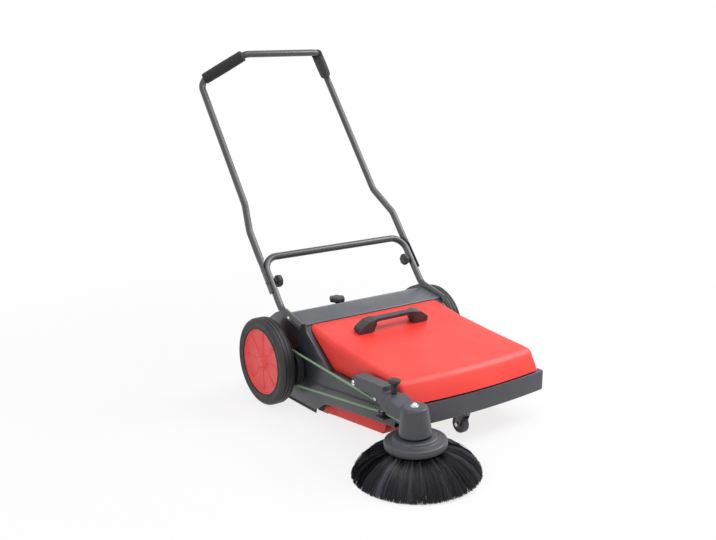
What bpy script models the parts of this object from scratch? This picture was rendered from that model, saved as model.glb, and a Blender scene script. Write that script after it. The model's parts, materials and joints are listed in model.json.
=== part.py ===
"""Push sweeper with a roller brush, a side brush and a lift-out dust hopper.

The machine stands on the floor at z = 0. -Y is forward, +Z is up and -X is the operator's right,
the side that carries the side brush. Every piece is built in that frame, with the drive axle above
y = 0, and the root empty then moves the whole machine so that the origin lies under the middle of it.
"""

import math

import bmesh
import bpy
from mathutils import Matrix, Vector

# General fits
GAP = 0.0003
RUNNING_FIT = 0.0001
SHEET = 0.003

# Drive wheels
WHEEL_RADIUS = 0.140
WHEEL_SIDES = 28
WHEEL_OUTER_FACE = 0.3645
TYRE_WIDTH = 0.052
RIM_RADIUS = 0.1045
RIM_BARREL = 0.004
STUB_RADIUS = 0.008
HUB_RADIUS = 0.022
SLEEVE_RADIUS = 0.016
CAP_RADIUS = 0.018

# Side plates
PLATE_OUTER_FACE = 0.2755
FLANGE_WIDTH = 0.028
PLATE_FRONT_Y = -0.5777
RAIL_TOP_Z = 0.165

# Gears: a wheel gear drives a pinion on the brush shaft
GEAR_MODULE = 0.004
WHEEL_GEAR_TEETH = 30
PINION_TEETH = 12
GEAR_INNER_FACE = 0.2785
GEAR_WIDTH = 0.010
PRESSURE_ANGLE = math.radians(20)
BACKLASH = 0.12

# Roller brush
ROLLER_RADIUS = 0.134
ROLLER_FLOOR_GAP = 0.001
ROLLER_HALF_LENGTH = 0.2325
ROLLER_CORE_RADIUS = 0.036
SLEEVE_BORE_GAP = 0.0018
SLEEVE_THICKNESS = 0.0062
ROLLER_ROWS = 8
ROW_WIDTH = 0.012
ROLLER_TWIST = math.radians(48)
SHAFT_RADIUS = 0.008
BEARING_RADIUS = 0.0142

# Belt and pulleys
DRIVE_PULLEY_RADIUS = 0.056
DRIVE_PULLEY_WIDTH = 0.014
BRUSH_PULLEY_RADIUS = 0.031
BRUSH_PULLEY_WIDTH = 0.016
IDLER_RADIUS = 0.010
IDLER_WIDTH = 0.014
BELT_RADIUS = 0.0034
GROOVE_HALF_WIDTH = 0.0042
UPPER_IDLER = (-0.530, 0.1712)
LOWER_IDLER_Y = -0.565
LOWER_IDLER_Z = 0.138

# Side brush, along its leaning spindle
SIDE_BRUSH_X = -0.290
SIDE_BRUSH_Y = -0.693
SIDE_BRUSH_LEAN = math.radians(3)
SIDE_BRUSH_RADIUS = 0.170
RING_RADIUS = 0.085
RING_BOTTOM = 0.086
RING_TOP = 0.118
PULLEY_BOTTOM = 0.150
SPINDLE_COVER_TOP = 0.200
SPINDLE_COVER_BOTTOM = 0.122
SPINDLE_COVER_TOP_RADIUS = 0.038
SPINDLE_COVER_BOTTOM_RADIUS = 0.042
SPINDLE_RADIUS = 0.008
STRAND_ROWS = 4
STRANDS_PER_ROW = 75
STRAND_RADIUS = 0.0016

# Side brush arm, hung on a bolt in an ear of the right side plate
ARM_PIVOT = (-0.396, 0.172)
ARM_INNER_FACE = 0.2785
ARM_OUTER_FACE = 0.318
ARM_WALL = 0.004
ARM_TOP_Z = 0.2215
ARM_STEP_Z = 0.205
HEIGHT_KNOB_X = -0.296
HEIGHT_KNOB_Y = -0.600

# Front bumper, cross member and caster
BUMPER_HALF_WIDTH = 0.276
BUMPER_FRONT_Y = -0.600
BUMPER_BOW = 0.018
BUMPER_DEPTH = 0.022
BUMPER_BOTTOM = 0.091
BUMPER_TOP = 0.154
CASTER_Y = -0.552
CASTER_TRAIL = 0.012
CASTER_RADIUS = 0.0275
CASTER_SIDES = 24
CASTER_WIDTH = 0.022
FORK_TOP = 0.063

# Hopper
LID_HALF_WIDTH = 0.250
LID_TOP = ((-0.128, 0.269), (-0.245, 0.249), (-0.388, 0.234), (-0.565, 0.219))
LID_FOOT_Y = (-0.2585, -0.300, -0.424, -0.601)
BIN_HALF_WIDTH = 0.2465
BIN_REAR = (-0.210, 0.027)
BIN_FRONT_Y = -0.503
BIN_FRONT_Z = 0.055
GRIP_CENTRE_X = -0.0175
GRIP_Y = -0.225
GRIP_LENGTH = 0.270
GRIP_WIDTH = 0.034

# Push handle: both tubes lie along one leg line above the side plates
TUBE_RADIUS = 0.0125
TUBE_WALL = 0.0016
LEG_FOOT = (-0.006, 0.298)
LEG_ANGLE = math.radians(51.3)
LOWER_HANDLE_X = 0.2595
CROSSBAR_ALONG = 0.178
CLAMP_ALONG = 0.098
UPPER_LEG_START = 0.035
UPPER_LEG_BEND = 0.283
TOP_BEND = (0.248, 0.593)
TOP_BEND_X = 0.260
GRIP_CORNER = (0.539, 0.975)
TOP_BAR = (0.430, 1.068)
TOP_BAR_X = 0.1435
FOAM_RADIUS = 0.0178
CLAMP_BOLT_RADIUS = 0.004
BOLT_HEAD_HEIGHT = 0.004
KNOB_RADIUS = 0.018

# Rear housing knob
REAR_KNOB = (-0.047, 0.030)
REAR_KNOB_RADIUS = 0.027

# Places worked out from the sizes above
AXLE_HEIGHT = WHEEL_RADIUS * math.cos(math.pi / WHEEL_SIDES)
ROLLER_HEIGHT = ROLLER_RADIUS + ROLLER_FLOOR_GAP
GEAR_CENTRES = GEAR_MODULE * (WHEEL_GEAR_TEETH + PINION_TEETH) / 2
ROLLER_Y = -math.sqrt(GEAR_CENTRES**2 - (AXLE_HEIGHT - ROLLER_HEIGHT) ** 2)
PLATE_INNER_FACE = PLATE_OUTER_FACE - SHEET
GEAR_OUTER_FACE = GEAR_INNER_FACE + GEAR_WIDTH
TYRE_INNER_FACE = WHEEL_OUTER_FACE - TYRE_WIDTH
PULLEY_PLANE = GEAR_OUTER_FACE + 0.0033 + DRIVE_PULLEY_WIDTH / 2
UPPER_HANDLE_X = LOWER_HANDLE_X + 2 * TUBE_RADIUS + 0.0005
LOWER_IDLER_X = -PULLEY_PLANE - IDLER_RADIUS
CASTER_AXLE_HEIGHT = CASTER_RADIUS * math.cos(math.pi / CASTER_SIDES)
SHELF_TOP = LOWER_IDLER_Z - IDLER_WIDTH / 2 - GAP
PULLEY_MIDDLE = PULLEY_BOTTOM + BRUSH_PULLEY_WIDTH / 2

RED = ("hopper_red", (0.80, 0.035, 0.03), 0.32, 0.0)
WHEEL_RED = ("wheel_red", (0.78, 0.04, 0.035), 0.4, 0.0)
PAINT = ("dark_grey_paint", (0.075, 0.082, 0.095), 0.42, 0.0)
PLASTIC = ("dark_grey_plastic", (0.085, 0.09, 0.10), 0.5, 0.0)
BLACK = ("black_plastic", (0.02, 0.02, 0.022), 0.5, 0.0)
RUBBER = ("black_rubber", (0.022, 0.022, 0.024), 0.8, 0.0)
FOAM = ("black_foam", (0.015, 0.015, 0.017), 0.95, 0.0)
STEEL = ("zinc_steel", (0.62, 0.62, 0.63), 0.3, 1.0)
BRONZE = ("bearing_bronze", (0.45, 0.30, 0.16), 0.4, 1.0)
NYLON = ("white_nylon", (0.72, 0.71, 0.66), 0.45, 0.0)
BRISTLE = ("black_bristle", (0.012, 0.012, 0.013), 0.6, 0.0)
BELT = ("green_belt", (0.16, 0.30, 0.20), 0.5, 0.0)


def clear_scene():
    for obj in list(bpy.data.objects):
        bpy.data.objects.remove(obj, do_unlink=True)


def new_collection(name, hidden=False):
    collection = bpy.data.collections.new(name)
    bpy.context.scene.collection.children.link(collection)
    collection.hide_render = hidden
    return collection


def finish(look):
    """The material of this name, made once."""
    name, colour, roughness, metallic = look
    material = bpy.data.materials.get(name)
    if material is None:
        material = bpy.data.materials.new(name)
        material.use_nodes = True
        shader = material.node_tree.nodes["Principled BSDF"]
        shader.inputs["Base Color"].default_value = (*colour, 1)
        shader.inputs["Roughness"].default_value = roughness
        shader.inputs["Metallic"].default_value = metallic
    return material


clear_scene()
PARTS = new_collection("push_sweeper")
CUTTERS = new_collection("cutters", hidden=True)


def add_object(name, data, look, place=None):
    obj = bpy.data.objects.new(name, data)
    PARTS.objects.link(obj)
    obj.matrix_basis = place or Matrix.Identity(4)
    if look:
        data.materials.append(finish(look))
    if obj.type == "MESH":
        data.shade_smooth()
        data.set_sharp_from_angle(angle=math.radians(35))
    return obj


def as_mesh(curve_object, look):
    """A mesh object of the curve's shape, with its caps welded on."""
    graph = bpy.context.evaluated_depsgraph_get()
    mesh = bpy.data.meshes.new_from_object(curve_object.evaluated_get(graph))
    shape = bmesh.new()
    shape.from_mesh(mesh)
    bmesh.ops.remove_doubles(shape, verts=shape.verts, dist=1e-6)
    shape.to_mesh(mesh)
    shape.free()
    name, place = curve_object.name, curve_object.matrix_basis.copy()
    bpy.data.objects.remove(curve_object, do_unlink=True)
    mesh.materials.clear()
    return add_object(name, mesh, look, place)


def box(name, low, high, look, edge=0.0):
    """A box between two corners, with rounded edges if edge is given."""
    low, high = Vector(low), Vector(high)
    shape = bmesh.new()
    place = Matrix.Translation((low + high) / 2) @ Matrix.Diagonal((*(high - low), 1))
    bmesh.ops.create_cube(shape, size=1, matrix=place)
    mesh = bpy.data.meshes.new(name)
    shape.to_mesh(mesh)
    shape.free()
    obj = add_object(name, mesh, look)
    if edge:
        soften(obj, edge)
    return obj


def soften(obj, width, segments=2, angle=35):
    bevel = obj.modifiers.new("soft_edges", "BEVEL")
    bevel.width = width
    bevel.segments = segments
    bevel.limit_method = "ANGLE"
    bevel.angle_limit = math.radians(angle)


def flat(name, outlines, low, high, look, axis="X", place=None):
    """Closed outlines filled and extruded along an axis; a second outline inside the first is a hole.

    Along X an outline is given as (y, z), along Z as (x, y), and along Y as (x, z).
    """
    curve = bpy.data.curves.new(name, "CURVE")
    curve.dimensions = "2D"
    curve.fill_mode = "BOTH"
    curve.extrude = (high - low) / 2
    for outline in outlines:
        spline = curve.splines.new("POLY")
        spline.points.add(len(outline) - 1)
        for point, (u, v) in zip(spline.points, outline):
            point.co = (u, -v if axis == "Y" else v, 0, 1)
        spline.use_cyclic_u = True
    middle = (low + high) / 2
    turns = {
        "X": Matrix(((0, 0, 1, middle), (1, 0, 0, 0), (0, 1, 0, 0), (0, 0, 0, 1))),
        "Y": Matrix(((1, 0, 0, 0), (0, 0, 1, middle), (0, -1, 0, 0), (0, 0, 0, 1))),
        "Z": Matrix(((1, 0, 0, 0), (0, 1, 0, 0), (0, 0, 1, middle), (0, 0, 0, 1))),
    }
    obj = add_object(name, curve, None, (place or Matrix.Identity(4)) @ turns[axis])
    bpy.context.view_layer.update()
    return as_mesh(obj, look)


def turned(name, profile, place, look, steps=24, half_turn=False):
    """A profile of (radius, height) points spun about the local Z axis of place.

    It runs down the outer side. One that starts and ends on the axis is solid; any other is closed
    to a ring. With half_turn a flat side faces local +X, and otherwise a corner does.
    """
    shape = bmesh.new()
    points = [shape.verts.new((radius, 0, height)) for radius, height in profile]
    for first, second in zip(points, points[1:]):
        shape.edges.new((first, second))
    if profile[0][0] > 0 or profile[-1][0] > 0:
        shape.edges.new((points[-1], points[0]))
    mesh = bpy.data.meshes.new(name)
    shape.to_mesh(mesh)
    shape.free()
    turn = Matrix.Rotation(math.pi / steps if half_turn else 0, 4, "Z")
    obj = add_object(name, mesh, look, place @ turn)
    screw = obj.modifiers.new("turn", "SCREW")
    screw.steps = steps
    screw.render_steps = steps
    screw.use_merge_vertices = True
    screw.merge_threshold = 1e-5
    return obj


def ring(outer, inner, low, high):
    """The profile of a plain ring or bush, down its outer side and up its bore."""
    return [(outer, high), (outer, low), (inner, low), (inner, high)]


def drum(radius, low, high):
    """The profile of a plain solid cylinder."""
    return [(0, high), (radius, high), (radius, low), (0, low)]


def grooved(radius, bore, low, high, half_groove=GROOVE_HALF_WIDTH):
    """The profile of a pulley whose belt runs at this radius, with a wide flat-bottomed groove."""
    middle = (low + high) / 2
    bottom = radius - BELT_RADIUS - GAP
    lip = radius + 0.002
    opening = min(half_groove + 0.0016, (high - low) / 2 - 0.0008)
    return [
        (lip, high),
        (lip, middle + opening),
        (bottom, middle + half_groove),
        (bottom, middle - half_groove),
        (lip, middle - opening),
        (lip, low),
        (bore, low),
        (bore, high),
    ]


def running_bore(radius, steps):
    """The corner radius of a bore of this many sides, whose flats clear a shaft of this radius."""
    return (radius + RUNNING_FIT) / math.cos(math.pi / steps)


def outward(side, y, z):
    """A frame whose local Z points away from the centre plane at this axis, with side +1 or -1."""
    return Matrix.Translation((0, y, z)) @ Matrix.Rotation(side * math.pi / 2, 4, "Y")


def upward(x, y, z=0.0):
    return Matrix.Translation((x, y, z))


def circle(centre, radius, sides=24):
    return [
        (
            centre[0] + radius * math.cos(2 * math.pi * k / sides),
            centre[1] + radius * math.sin(2 * math.pi * k / sides),
        )
        for k in range(sides)
    ]


def rounded(corners, radii, step=math.radians(31)):
    """The points along straight runs between corners, each inner corner rounded by its radius."""
    corners = [Vector(corner) for corner in corners]
    points = [corners[0]]
    for before, corner, after, radius in zip(corners, corners[1:], corners[2:], radii):
        back, ahead = (before - corner).normalized(), (after - corner).normalized()
        turn = math.pi - back.angle(ahead)
        reach = radius * math.tan(turn / 2)
        middle = corner + (back + ahead).normalized() * radius / math.cos(turn / 2)
        start = corner + back * reach - middle
        across = (corner + ahead * reach - middle) - start * math.cos(turn)
        across = across.normalized() * radius
        count = max(2, math.ceil(turn / step))
        for k in range(count + 1):
            angle = turn * k / count
            points.append(middle + start * math.cos(angle) + across * math.sin(angle))
    points.append(corners[-1])
    return points


def strip(path, thickness):
    """The outline of a sheet of this thickness on the right of a path of (y, z) points."""
    path = [Vector(point) for point in path]
    inner = []
    for k, point in enumerate(path):
        ahead = path[k + 1] - point if k + 1 < len(path) else point - path[k - 1]
        behind = point - path[k - 1] if k else ahead
        normals = [Vector((d.y, -d.x)).normalized() for d in (behind, ahead)]
        mean = (normals[0] + normals[1]).normalized()
        inner.append(point + mean * thickness / max(mean.dot(normals[0]), 0.3))
    return [tuple(point) for point in path + inner[::-1]]


def tube(name, points, radius, look, wall=0.0, closed=False, resolution=2):
    """A round tube along points: hollow with open ends where it has a wall, otherwise solid."""
    curve = bpy.data.curves.new(name, "CURVE")
    curve.dimensions = "3D"
    curve.bevel_depth = radius
    curve.bevel_resolution = resolution
    curve.use_fill_caps = not wall and not closed
    spline = curve.splines.new("POLY")
    spline.points.add(len(points) - 1)
    for point, place in zip(spline.points, points):
        point.co = (*place, 1)
    spline.use_cyclic_u = closed
    obj = add_object(name, curve, None)
    bpy.context.view_layer.update()
    obj = as_mesh(obj, look)
    if wall:
        shell = obj.modifiers.new("wall", "SOLIDIFY")
        shell.thickness = wall
        shell.offset = -1
    return obj


def cut(obj, *cutters):
    """Takes the cutters' shapes out of an object."""
    for cutter in cutters:
        combine(obj, cutter, "DIFFERENCE")


def join(obj, *others):
    for other in others:
        combine(obj, other, "UNION")


def combine(obj, other, operation):
    PARTS.objects.unlink(other)
    CUTTERS.objects.link(other)
    other.hide_render = True
    other.display_type = "WIRE"
    step = obj.modifiers.new(other.name, "BOOLEAN")
    step.operation = operation
    step.object = other
    step.solver = "EXACT"


def cross_hole(name, side, y, z, radius, low, high):
    """A round cutter across the machine, between two distances from the centre plane."""
    return turned(name, drum(radius, low, high), outward(side, y, z), None, 16)


def body_frame(name, place, parent=None):
    """An empty on a joint's axis; its place is the machine frame's."""
    empty = bpy.data.objects.new(name, None)
    PARTS.objects.link(empty)
    empty.empty_display_size = 0.05
    empty["home"] = [value for row in place for value in row]
    empty.matrix_basis = place
    if parent:
        empty.parent = parent
        empty.matrix_parent_inverse = home(parent).inverted()
    return empty


def home(empty):
    values = list(empty["home"])
    return Matrix([values[4 * row : 4 * row + 4] for row in range(4)])


def adopt(empty, *objects):
    for obj in objects:
        obj.parent = empty
        obj.matrix_parent_inverse = home(empty).inverted()


def side_name(side):
    return "left" if side > 0 else "right"


# Gears


def involute_outline(teeth, phase):
    """The outline of a spur gear, its flanks straight between points of the involute."""
    pitch = GEAR_MODULE * teeth / 2
    base = pitch * math.cos(PRESSURE_ANGLE)
    tip, root = pitch + 0.85 * GEAR_MODULE, pitch - 1.15 * GEAR_MODULE

    def roll(radius):
        ratio = max(radius, base) / base
        return math.sqrt(ratio**2 - 1) - math.acos(1 / ratio)

    half_tooth = math.pi / (2 * teeth) * (1 - BACKLASH)
    radii = [root, tip]
    widths = [half_tooth + roll(pitch) - roll(radius) for radius in radii]
    outline = []
    for tooth in range(teeth):
        middle = phase + 2 * math.pi * tooth / teeth
        flank = list(zip(radii, widths))
        for radius, width in flank:
            outline.append((radius, middle - width))
        for radius, width in flank[::-1]:
            outline.append((radius, middle + width))
    return [(radius * math.cos(angle), radius * math.sin(angle)) for radius, angle in outline]


def gear(name, side, y, z, teeth, bore, phase, look):
    """A spur gear in the gear plane of one side, with a tooth at phase in the YZ plane."""
    outline = [(y + u, z + v) for u, v in involute_outline(teeth, phase)]
    hole = circle((y, z), bore)
    low, high = sorted((side * GEAR_INNER_FACE, side * GEAR_OUTER_FACE))
    return flat(name, (outline, hole), low, high, look)


def line_of_centres():
    """The direction in the YZ plane from the wheel axle to the roller shaft."""
    return math.atan2(ROLLER_HEIGHT - AXLE_HEIGHT, ROLLER_Y)


# Chassis


def plate_outline(side):
    front = [(PLATE_FRONT_Y, 0.160), (-0.424, RAIL_TOP_Z)]
    ear = [(-0.416, 0.188), (-0.376, 0.188)] if side < 0 else []
    return (
        front
        + ear
        + [
            (-0.368, RAIL_TOP_Z),
            (-0.253, RAIL_TOP_Z),
            (-0.135, 0.257),
            (-0.127, 0.279),
            (-0.020, 0.3035),
            (0.045, 0.276),
            (0.092, 0.245),
            (0.104, 0.160),
            (0.085, 0.060),
            (0.035, 0.018),
            (-0.180, 0.018),
            (-0.217, 0.042),
            (-0.234, 0.053),
            (-0.339, 0.068),
            (PLATE_FRONT_Y, 0.0945),
        ]
    )


def side_plate(side):
    name = f"{side_name(side)}_side_plate"
    holes = [
        circle((ROLLER_Y, ROLLER_HEIGHT), BEARING_RADIUS + GAP),
        circle((0, AXLE_HEIGHT), 0.010 + GAP),
        circle(leg_bolt_place(), CLAMP_BOLT_RADIUS + GAP, 16),
    ]
    if side < 0:
        holes.append(circle(ARM_PIVOT, 0.005 + GAP, 16))
    low, high = sorted((side * PLATE_INNER_FACE, side * PLATE_OUTER_FACE))
    plate = flat(name, [plate_outline(side), *holes], low, high, PAINT)
    lip_path = [(PLATE_FRONT_Y, 0.160), (-0.253, RAIL_TOP_Z), (-0.1365, 0.2558)]
    inner_edge = PLATE_OUTER_FACE - FLANGE_WIDTH
    low, high = sorted((side * inner_edge, side * (PLATE_OUTER_FACE - 0.001)))
    flange = flat(f"{name}_flange", [strip(lip_path, SHEET)], low, high, PAINT)
    join(plate, flange)
    return plate


def leg_bolt_place():
    """Where the leg of the lower handle is bolted to the side plate, on the flat end of the tube."""
    along = Vector(LEG_FOOT) + Vector((-0.112, -0.0255)) * 0.5
    return tuple(along)


def brush_housing():
    """The cover over the roller brush, a bent sheet open below, wider at the back than the handle."""
    corners = [(-0.118, 0.2745), (-0.028, 0.2905), (0.060, 0.262), (0.088, 0.170), (0.088, 0.050)]
    path = rounded(corners, (0.030, 0.040, 0.060))
    half = LOWER_HANDLE_X - TUBE_RADIUS - GAP * 2
    housing = flat("brush_housing", [strip(path, SHEET)], -half, half, PLASTIC)
    back = [(0.0866, 0.180), (0.0866, 0.060), (0.0852, 0.060), (0.0852, 0.180)]
    reach = PLATE_INNER_FACE - GAP
    join(housing, flat("housing_back", [back], -reach, reach, PLASTIC))
    cut(housing, turned("rear_knob_hole", drum(0.0066, 0.2, 0.35), upward(*REAR_KNOB), None, 12))
    return housing


def bumper_line(x):
    """The front face of the bumper, bowed forward in the middle."""
    return BUMPER_FRONT_Y - BUMPER_BOW * (1 - (x / BUMPER_HALF_WIDTH) ** 2)


def front_bumper():
    steps = [BUMPER_HALF_WIDTH * (k / 5 - 1) for k in range(11)]
    front = [(x, bumper_line(x)) for x in steps]
    rear = [(x, bumper_line(x) + BUMPER_DEPTH) for x in steps[::-1]]
    bumper = flat("front_bumper", [front + rear], BUMPER_BOTTOM, BUMPER_TOP, PLASTIC, "Z")
    soften(bumper, 0.005)
    inner = [x * 0.975 for x in steps]
    hollow_front = [(x, bumper_line(x) + SHEET) for x in inner]
    hollow_rear = [(x, bumper_line(x) + BUMPER_DEPTH * 2) for x in inner[::-1]]
    hollow = flat(
        "bumper_hollow",
        [hollow_front + hollow_rear],
        BUMPER_BOTTOM + SHEET,
        BUMPER_TOP - SHEET,
        None,
        "Z",
    )
    cut(bumper, hollow)
    lug = box(
        "height_stop_lug",
        (HEIGHT_KNOB_X - 0.004, HEIGHT_KNOB_Y - 0.006, BUMPER_TOP - 0.0045),
        (-BUMPER_HALF_WIDTH + 0.010, HEIGHT_KNOB_Y + 0.006, BUMPER_TOP - 0.0005),
        None,
    )
    join(bumper, lug)
    return bumper


def front_crossmember():
    """An angle section between the side plates, behind the bumper, that carries the caster."""
    section = [
        (-0.5745, 0.0905),
        (-0.515, 0.0905),
        (-0.515, 0.108),
        (-0.518, 0.108),
        (-0.518, 0.0935),
        (-0.5745, 0.0935),
    ]
    reach = PLATE_INNER_FACE - GAP
    return flat("front_crossmember", [section], -reach, reach, PAINT)


def leg_point(along, x):
    """A point on the leg line, at a distance up from its foot."""
    return (
        x,
        LEG_FOOT[0] + along * math.cos(LEG_ANGLE),
        LEG_FOOT[1] + along * math.sin(LEG_ANGLE),
    )


def mirrored(points):
    """The route over one side and back down the other."""
    return points + [Vector((-x, y, z)) for x, y, z in points[::-1]]


def lower_handle():
    foot = (LOWER_HANDLE_X, *LEG_FOOT)
    end = (LOWER_HANDLE_X, LEG_FOOT[0] - 0.112, LEG_FOOT[1] - 0.0255)
    corner = leg_point(CROSSBAR_ALONG, LOWER_HANDLE_X)
    middle = leg_point(CROSSBAR_ALONG, 0)
    half = rounded([end, foot, corner, middle], (0.050, 0.050))[:-1]
    handle = tube("lower_handle", mirrored(half), TUBE_RADIUS, PAINT, TUBE_WALL)
    clamp = leg_point(CLAMP_ALONG, 0)
    for side in (-1, 1):
        name = side_name(side)
        cut(
            handle,
            cross_hole(f"{name}_clamp_hole", side, *clamp[1:], 0.0044, 0.235, 0.285),
            cross_hole(f"{name}_leg_hole", side, *leg_bolt_place(), 0.0044, 0.260, 0.285),
        )
    return handle


def stub_axle(side):
    """Riveted through the side plate: an inner head, a flange outside and the wheel's pin."""
    profile = [
        (0, 0.3560),
        (STUB_RADIUS, 0.3560),
        (STUB_RADIUS, 0.2781),
        (0.019, 0.2781),
        (0.019, PLATE_OUTER_FACE + GAP),
        (0.010, PLATE_OUTER_FACE + GAP),
        (0.010, PLATE_INNER_FACE - GAP),
        (0.013, PLATE_INNER_FACE - GAP),
        (0.013, 0.2665),
        (0, 0.2665),
    ]
    place = outward(side, 0, AXLE_HEIGHT)
    return turned(f"{side_name(side)}_stub_axle", profile, place, STEEL, 12)


def brush_bearing(side):
    bore = running_bore(SHAFT_RADIUS, 12)
    profile = [
        (BEARING_RADIUS, 0.2767),
        (BEARING_RADIUS, PLATE_INNER_FACE - GAP),
        (0.019, PLATE_INNER_FACE - GAP),
        (0.019, 0.2690),
        (bore, 0.2690),
        (bore, 0.2767),
    ]
    place = outward(side, ROLLER_Y, ROLLER_HEIGHT)
    return turned(f"{side_name(side)}_brush_bearing", profile, place, BRONZE, 12)


def rubber_skirts():
    rear = box("rear_skirt", (-0.2460, 0.0853 - 0.004, 0.005), (0.2460, 0.0847, 0.085), RUBBER)
    skirts = [rear]
    for side in (-1, 1):
        low, high = sorted((side * 0.2690, side * (PLATE_INNER_FACE - GAP)))
        outline = [(-0.178, 0.006), (0.030, 0.006), (0.035, 0.050), (-0.185, 0.050)]
        skirts.append(flat(f"{side_name(side)}_side_skirt", [outline], low, high, RUBBER))
    return skirts


def bolt(name, side, place, start, end, head_radius):
    """A round-headed bolt across the machine, its head outwards and its shank inwards."""
    radius, head = CLAMP_BOLT_RADIUS, BOLT_HEAD_HEIGHT
    profile = [
        (0, start + head),
        (head_radius * 0.6, start + head),
        (head_radius, start + head * 0.4),
        (head_radius, start),
        (radius, start),
        (radius, end),
        (0, end),
    ]
    return turned(name, profile, outward(side, *place), STEEL, 12)


def chassis_bolts():
    clamp = leg_point(CLAMP_ALONG, 0)[1:]
    leg = leg_bolt_place()
    tube_face = UPPER_HANDLE_X + TUBE_RADIUS + GAP
    plate_face = PLATE_OUTER_FACE + GAP
    bolts = []
    for side in (-1, 1):
        name = side_name(side)
        bolts.append(bolt(f"{name}_clamp_bolt", side, clamp, tube_face, 0.233, 0.010))
        bolts.append(bolt(f"{name}_leg_bolt", side, leg, plate_face, 0.262, 0.008))
    return bolts


def arm_pivot_bolt():
    """Through the ear of the right side plate; the arm swings on it."""
    profile = [
        (0, 0.2890),
        (0.006, 0.2890),
        (0.009, 0.2872),
        (0.009, ARM_INNER_FACE + ARM_WALL + GAP),
        (0.005, ARM_INNER_FACE + ARM_WALL + GAP),
        (0.005, PLATE_INNER_FACE),
        (0, PLATE_INNER_FACE),
    ]
    return turned("arm_pivot_bolt", profile, outward(-1, *ARM_PIVOT), STEEL, 12)


def caster_plate():
    """The caster's top plate with its pivot pin, whose head holds the fork."""
    pin = 0.005
    seat = 0.0905 - GAP
    plate = box(
        "caster_plate",
        (-0.030, CASTER_Y - 0.022, seat - 0.003),
        (0.030, CASTER_Y + 0.022, seat),
        STEEL,
    )
    profile = [
        (0, seat - 0.001),
        (0.016, seat - 0.001),
        (0.016, FORK_TOP + 0.010),
        (pin, FORK_TOP + 0.010),
        (pin, FORK_TOP - 0.0033),
        (0.0075, FORK_TOP - 0.0033),
        (0.0075, FORK_TOP - 0.0062),
        (0, FORK_TOP - 0.0062),
    ]
    join(plate, turned("caster_pin", profile, upward(0, CASTER_Y), None, 16))
    return plate


# Wheels


def tyre(side):
    inner, outer = TYRE_INNER_FACE, WHEEL_OUTER_FACE
    profile = [
        (RIM_RADIUS + GAP, outer - 0.002),
        (WHEEL_RADIUS - 0.012, outer),
        (WHEEL_RADIUS - 0.004, outer - 0.0035),
        (WHEEL_RADIUS, outer - 0.012),
        (WHEEL_RADIUS, inner + 0.012),
        (WHEEL_RADIUS - 0.004, inner + 0.0035),
        (WHEEL_RADIUS - 0.012, inner),
        (RIM_RADIUS + GAP, inner + 0.002),
    ]
    place = outward(side, 0, AXLE_HEIGHT)
    return turned(f"{side_name(side)}_tyre", profile, place, RUBBER, WHEEL_SIDES, half_turn=True)


def rim(side):
    """A dished disc in the tyre, with a sleeve inwards that carries the wheel gear."""
    bore = running_bore(STUB_RADIUS, WHEEL_SIDES)
    face, inner_edge = WHEEL_OUTER_FACE - 0.0045, TYRE_INNER_FACE + 0.004
    disc = face - 0.007
    profile = [
        (RIM_RADIUS, face),
        (RIM_RADIUS, inner_edge),
        (RIM_RADIUS - RIM_BARREL, inner_edge),
        (RIM_RADIUS - RIM_BARREL, disc - SHEET),
        (HUB_RADIUS, disc - SHEET),
        (HUB_RADIUS, TYRE_INNER_FACE + 0.016),
        (SLEEVE_RADIUS, TYRE_INNER_FACE + 0.016),
        (SLEEVE_RADIUS, GEAR_INNER_FACE),
        (bore, GEAR_INNER_FACE),
        (bore, disc - 0.002),
        (CAP_RADIUS + GAP, disc - 0.002),
        (CAP_RADIUS + GAP, face - 0.001),
        (HUB_RADIUS, face - 0.001),
        (HUB_RADIUS + 0.008, disc),
        (RIM_RADIUS - RIM_BARREL - 0.004, disc),
        (RIM_RADIUS - RIM_BARREL, face),
    ]
    place = outward(side, 0, AXLE_HEIGHT)
    return turned(f"{side_name(side)}_rim", profile, place, WHEEL_RED, WHEEL_SIDES, half_turn=True)


def wheel_cap(side):
    """A snap cap over the end of the stub axle."""
    face = WHEEL_OUTER_FACE - 0.0045
    profile = [
        (0, face + 0.0015),
        (CAP_RADIUS - 0.004, face + 0.0015),
        (CAP_RADIUS, face - 0.0015),
        (CAP_RADIUS, face - 0.0087),
        (STUB_RADIUS + 0.004, face - 0.0087),
        (STUB_RADIUS + 0.004, face - 0.0030),
        (0, face - 0.0030),
    ]
    place = outward(side, 0, AXLE_HEIGHT)
    return turned(f"{side_name(side)}_wheel_cap", profile, place, WHEEL_RED, 16)


def wheel(side, chassis):
    name = side_name(side)
    frame = body_frame(f"{name}_wheel_axis", upward(0, 0, AXLE_HEIGHT), chassis)
    phase = line_of_centres()
    pieces = [
        tyre(side),
        rim(side),
        wheel_cap(side),
        gear(
            f"{name}_wheel_gear",
            side,
            0,
            AXLE_HEIGHT,
            WHEEL_GEAR_TEETH,
            SLEEVE_RADIUS + GAP * 2,
            phase,
            NYLON,
        ),
    ]
    adopt(frame, *pieces)


# Roller brush


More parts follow.
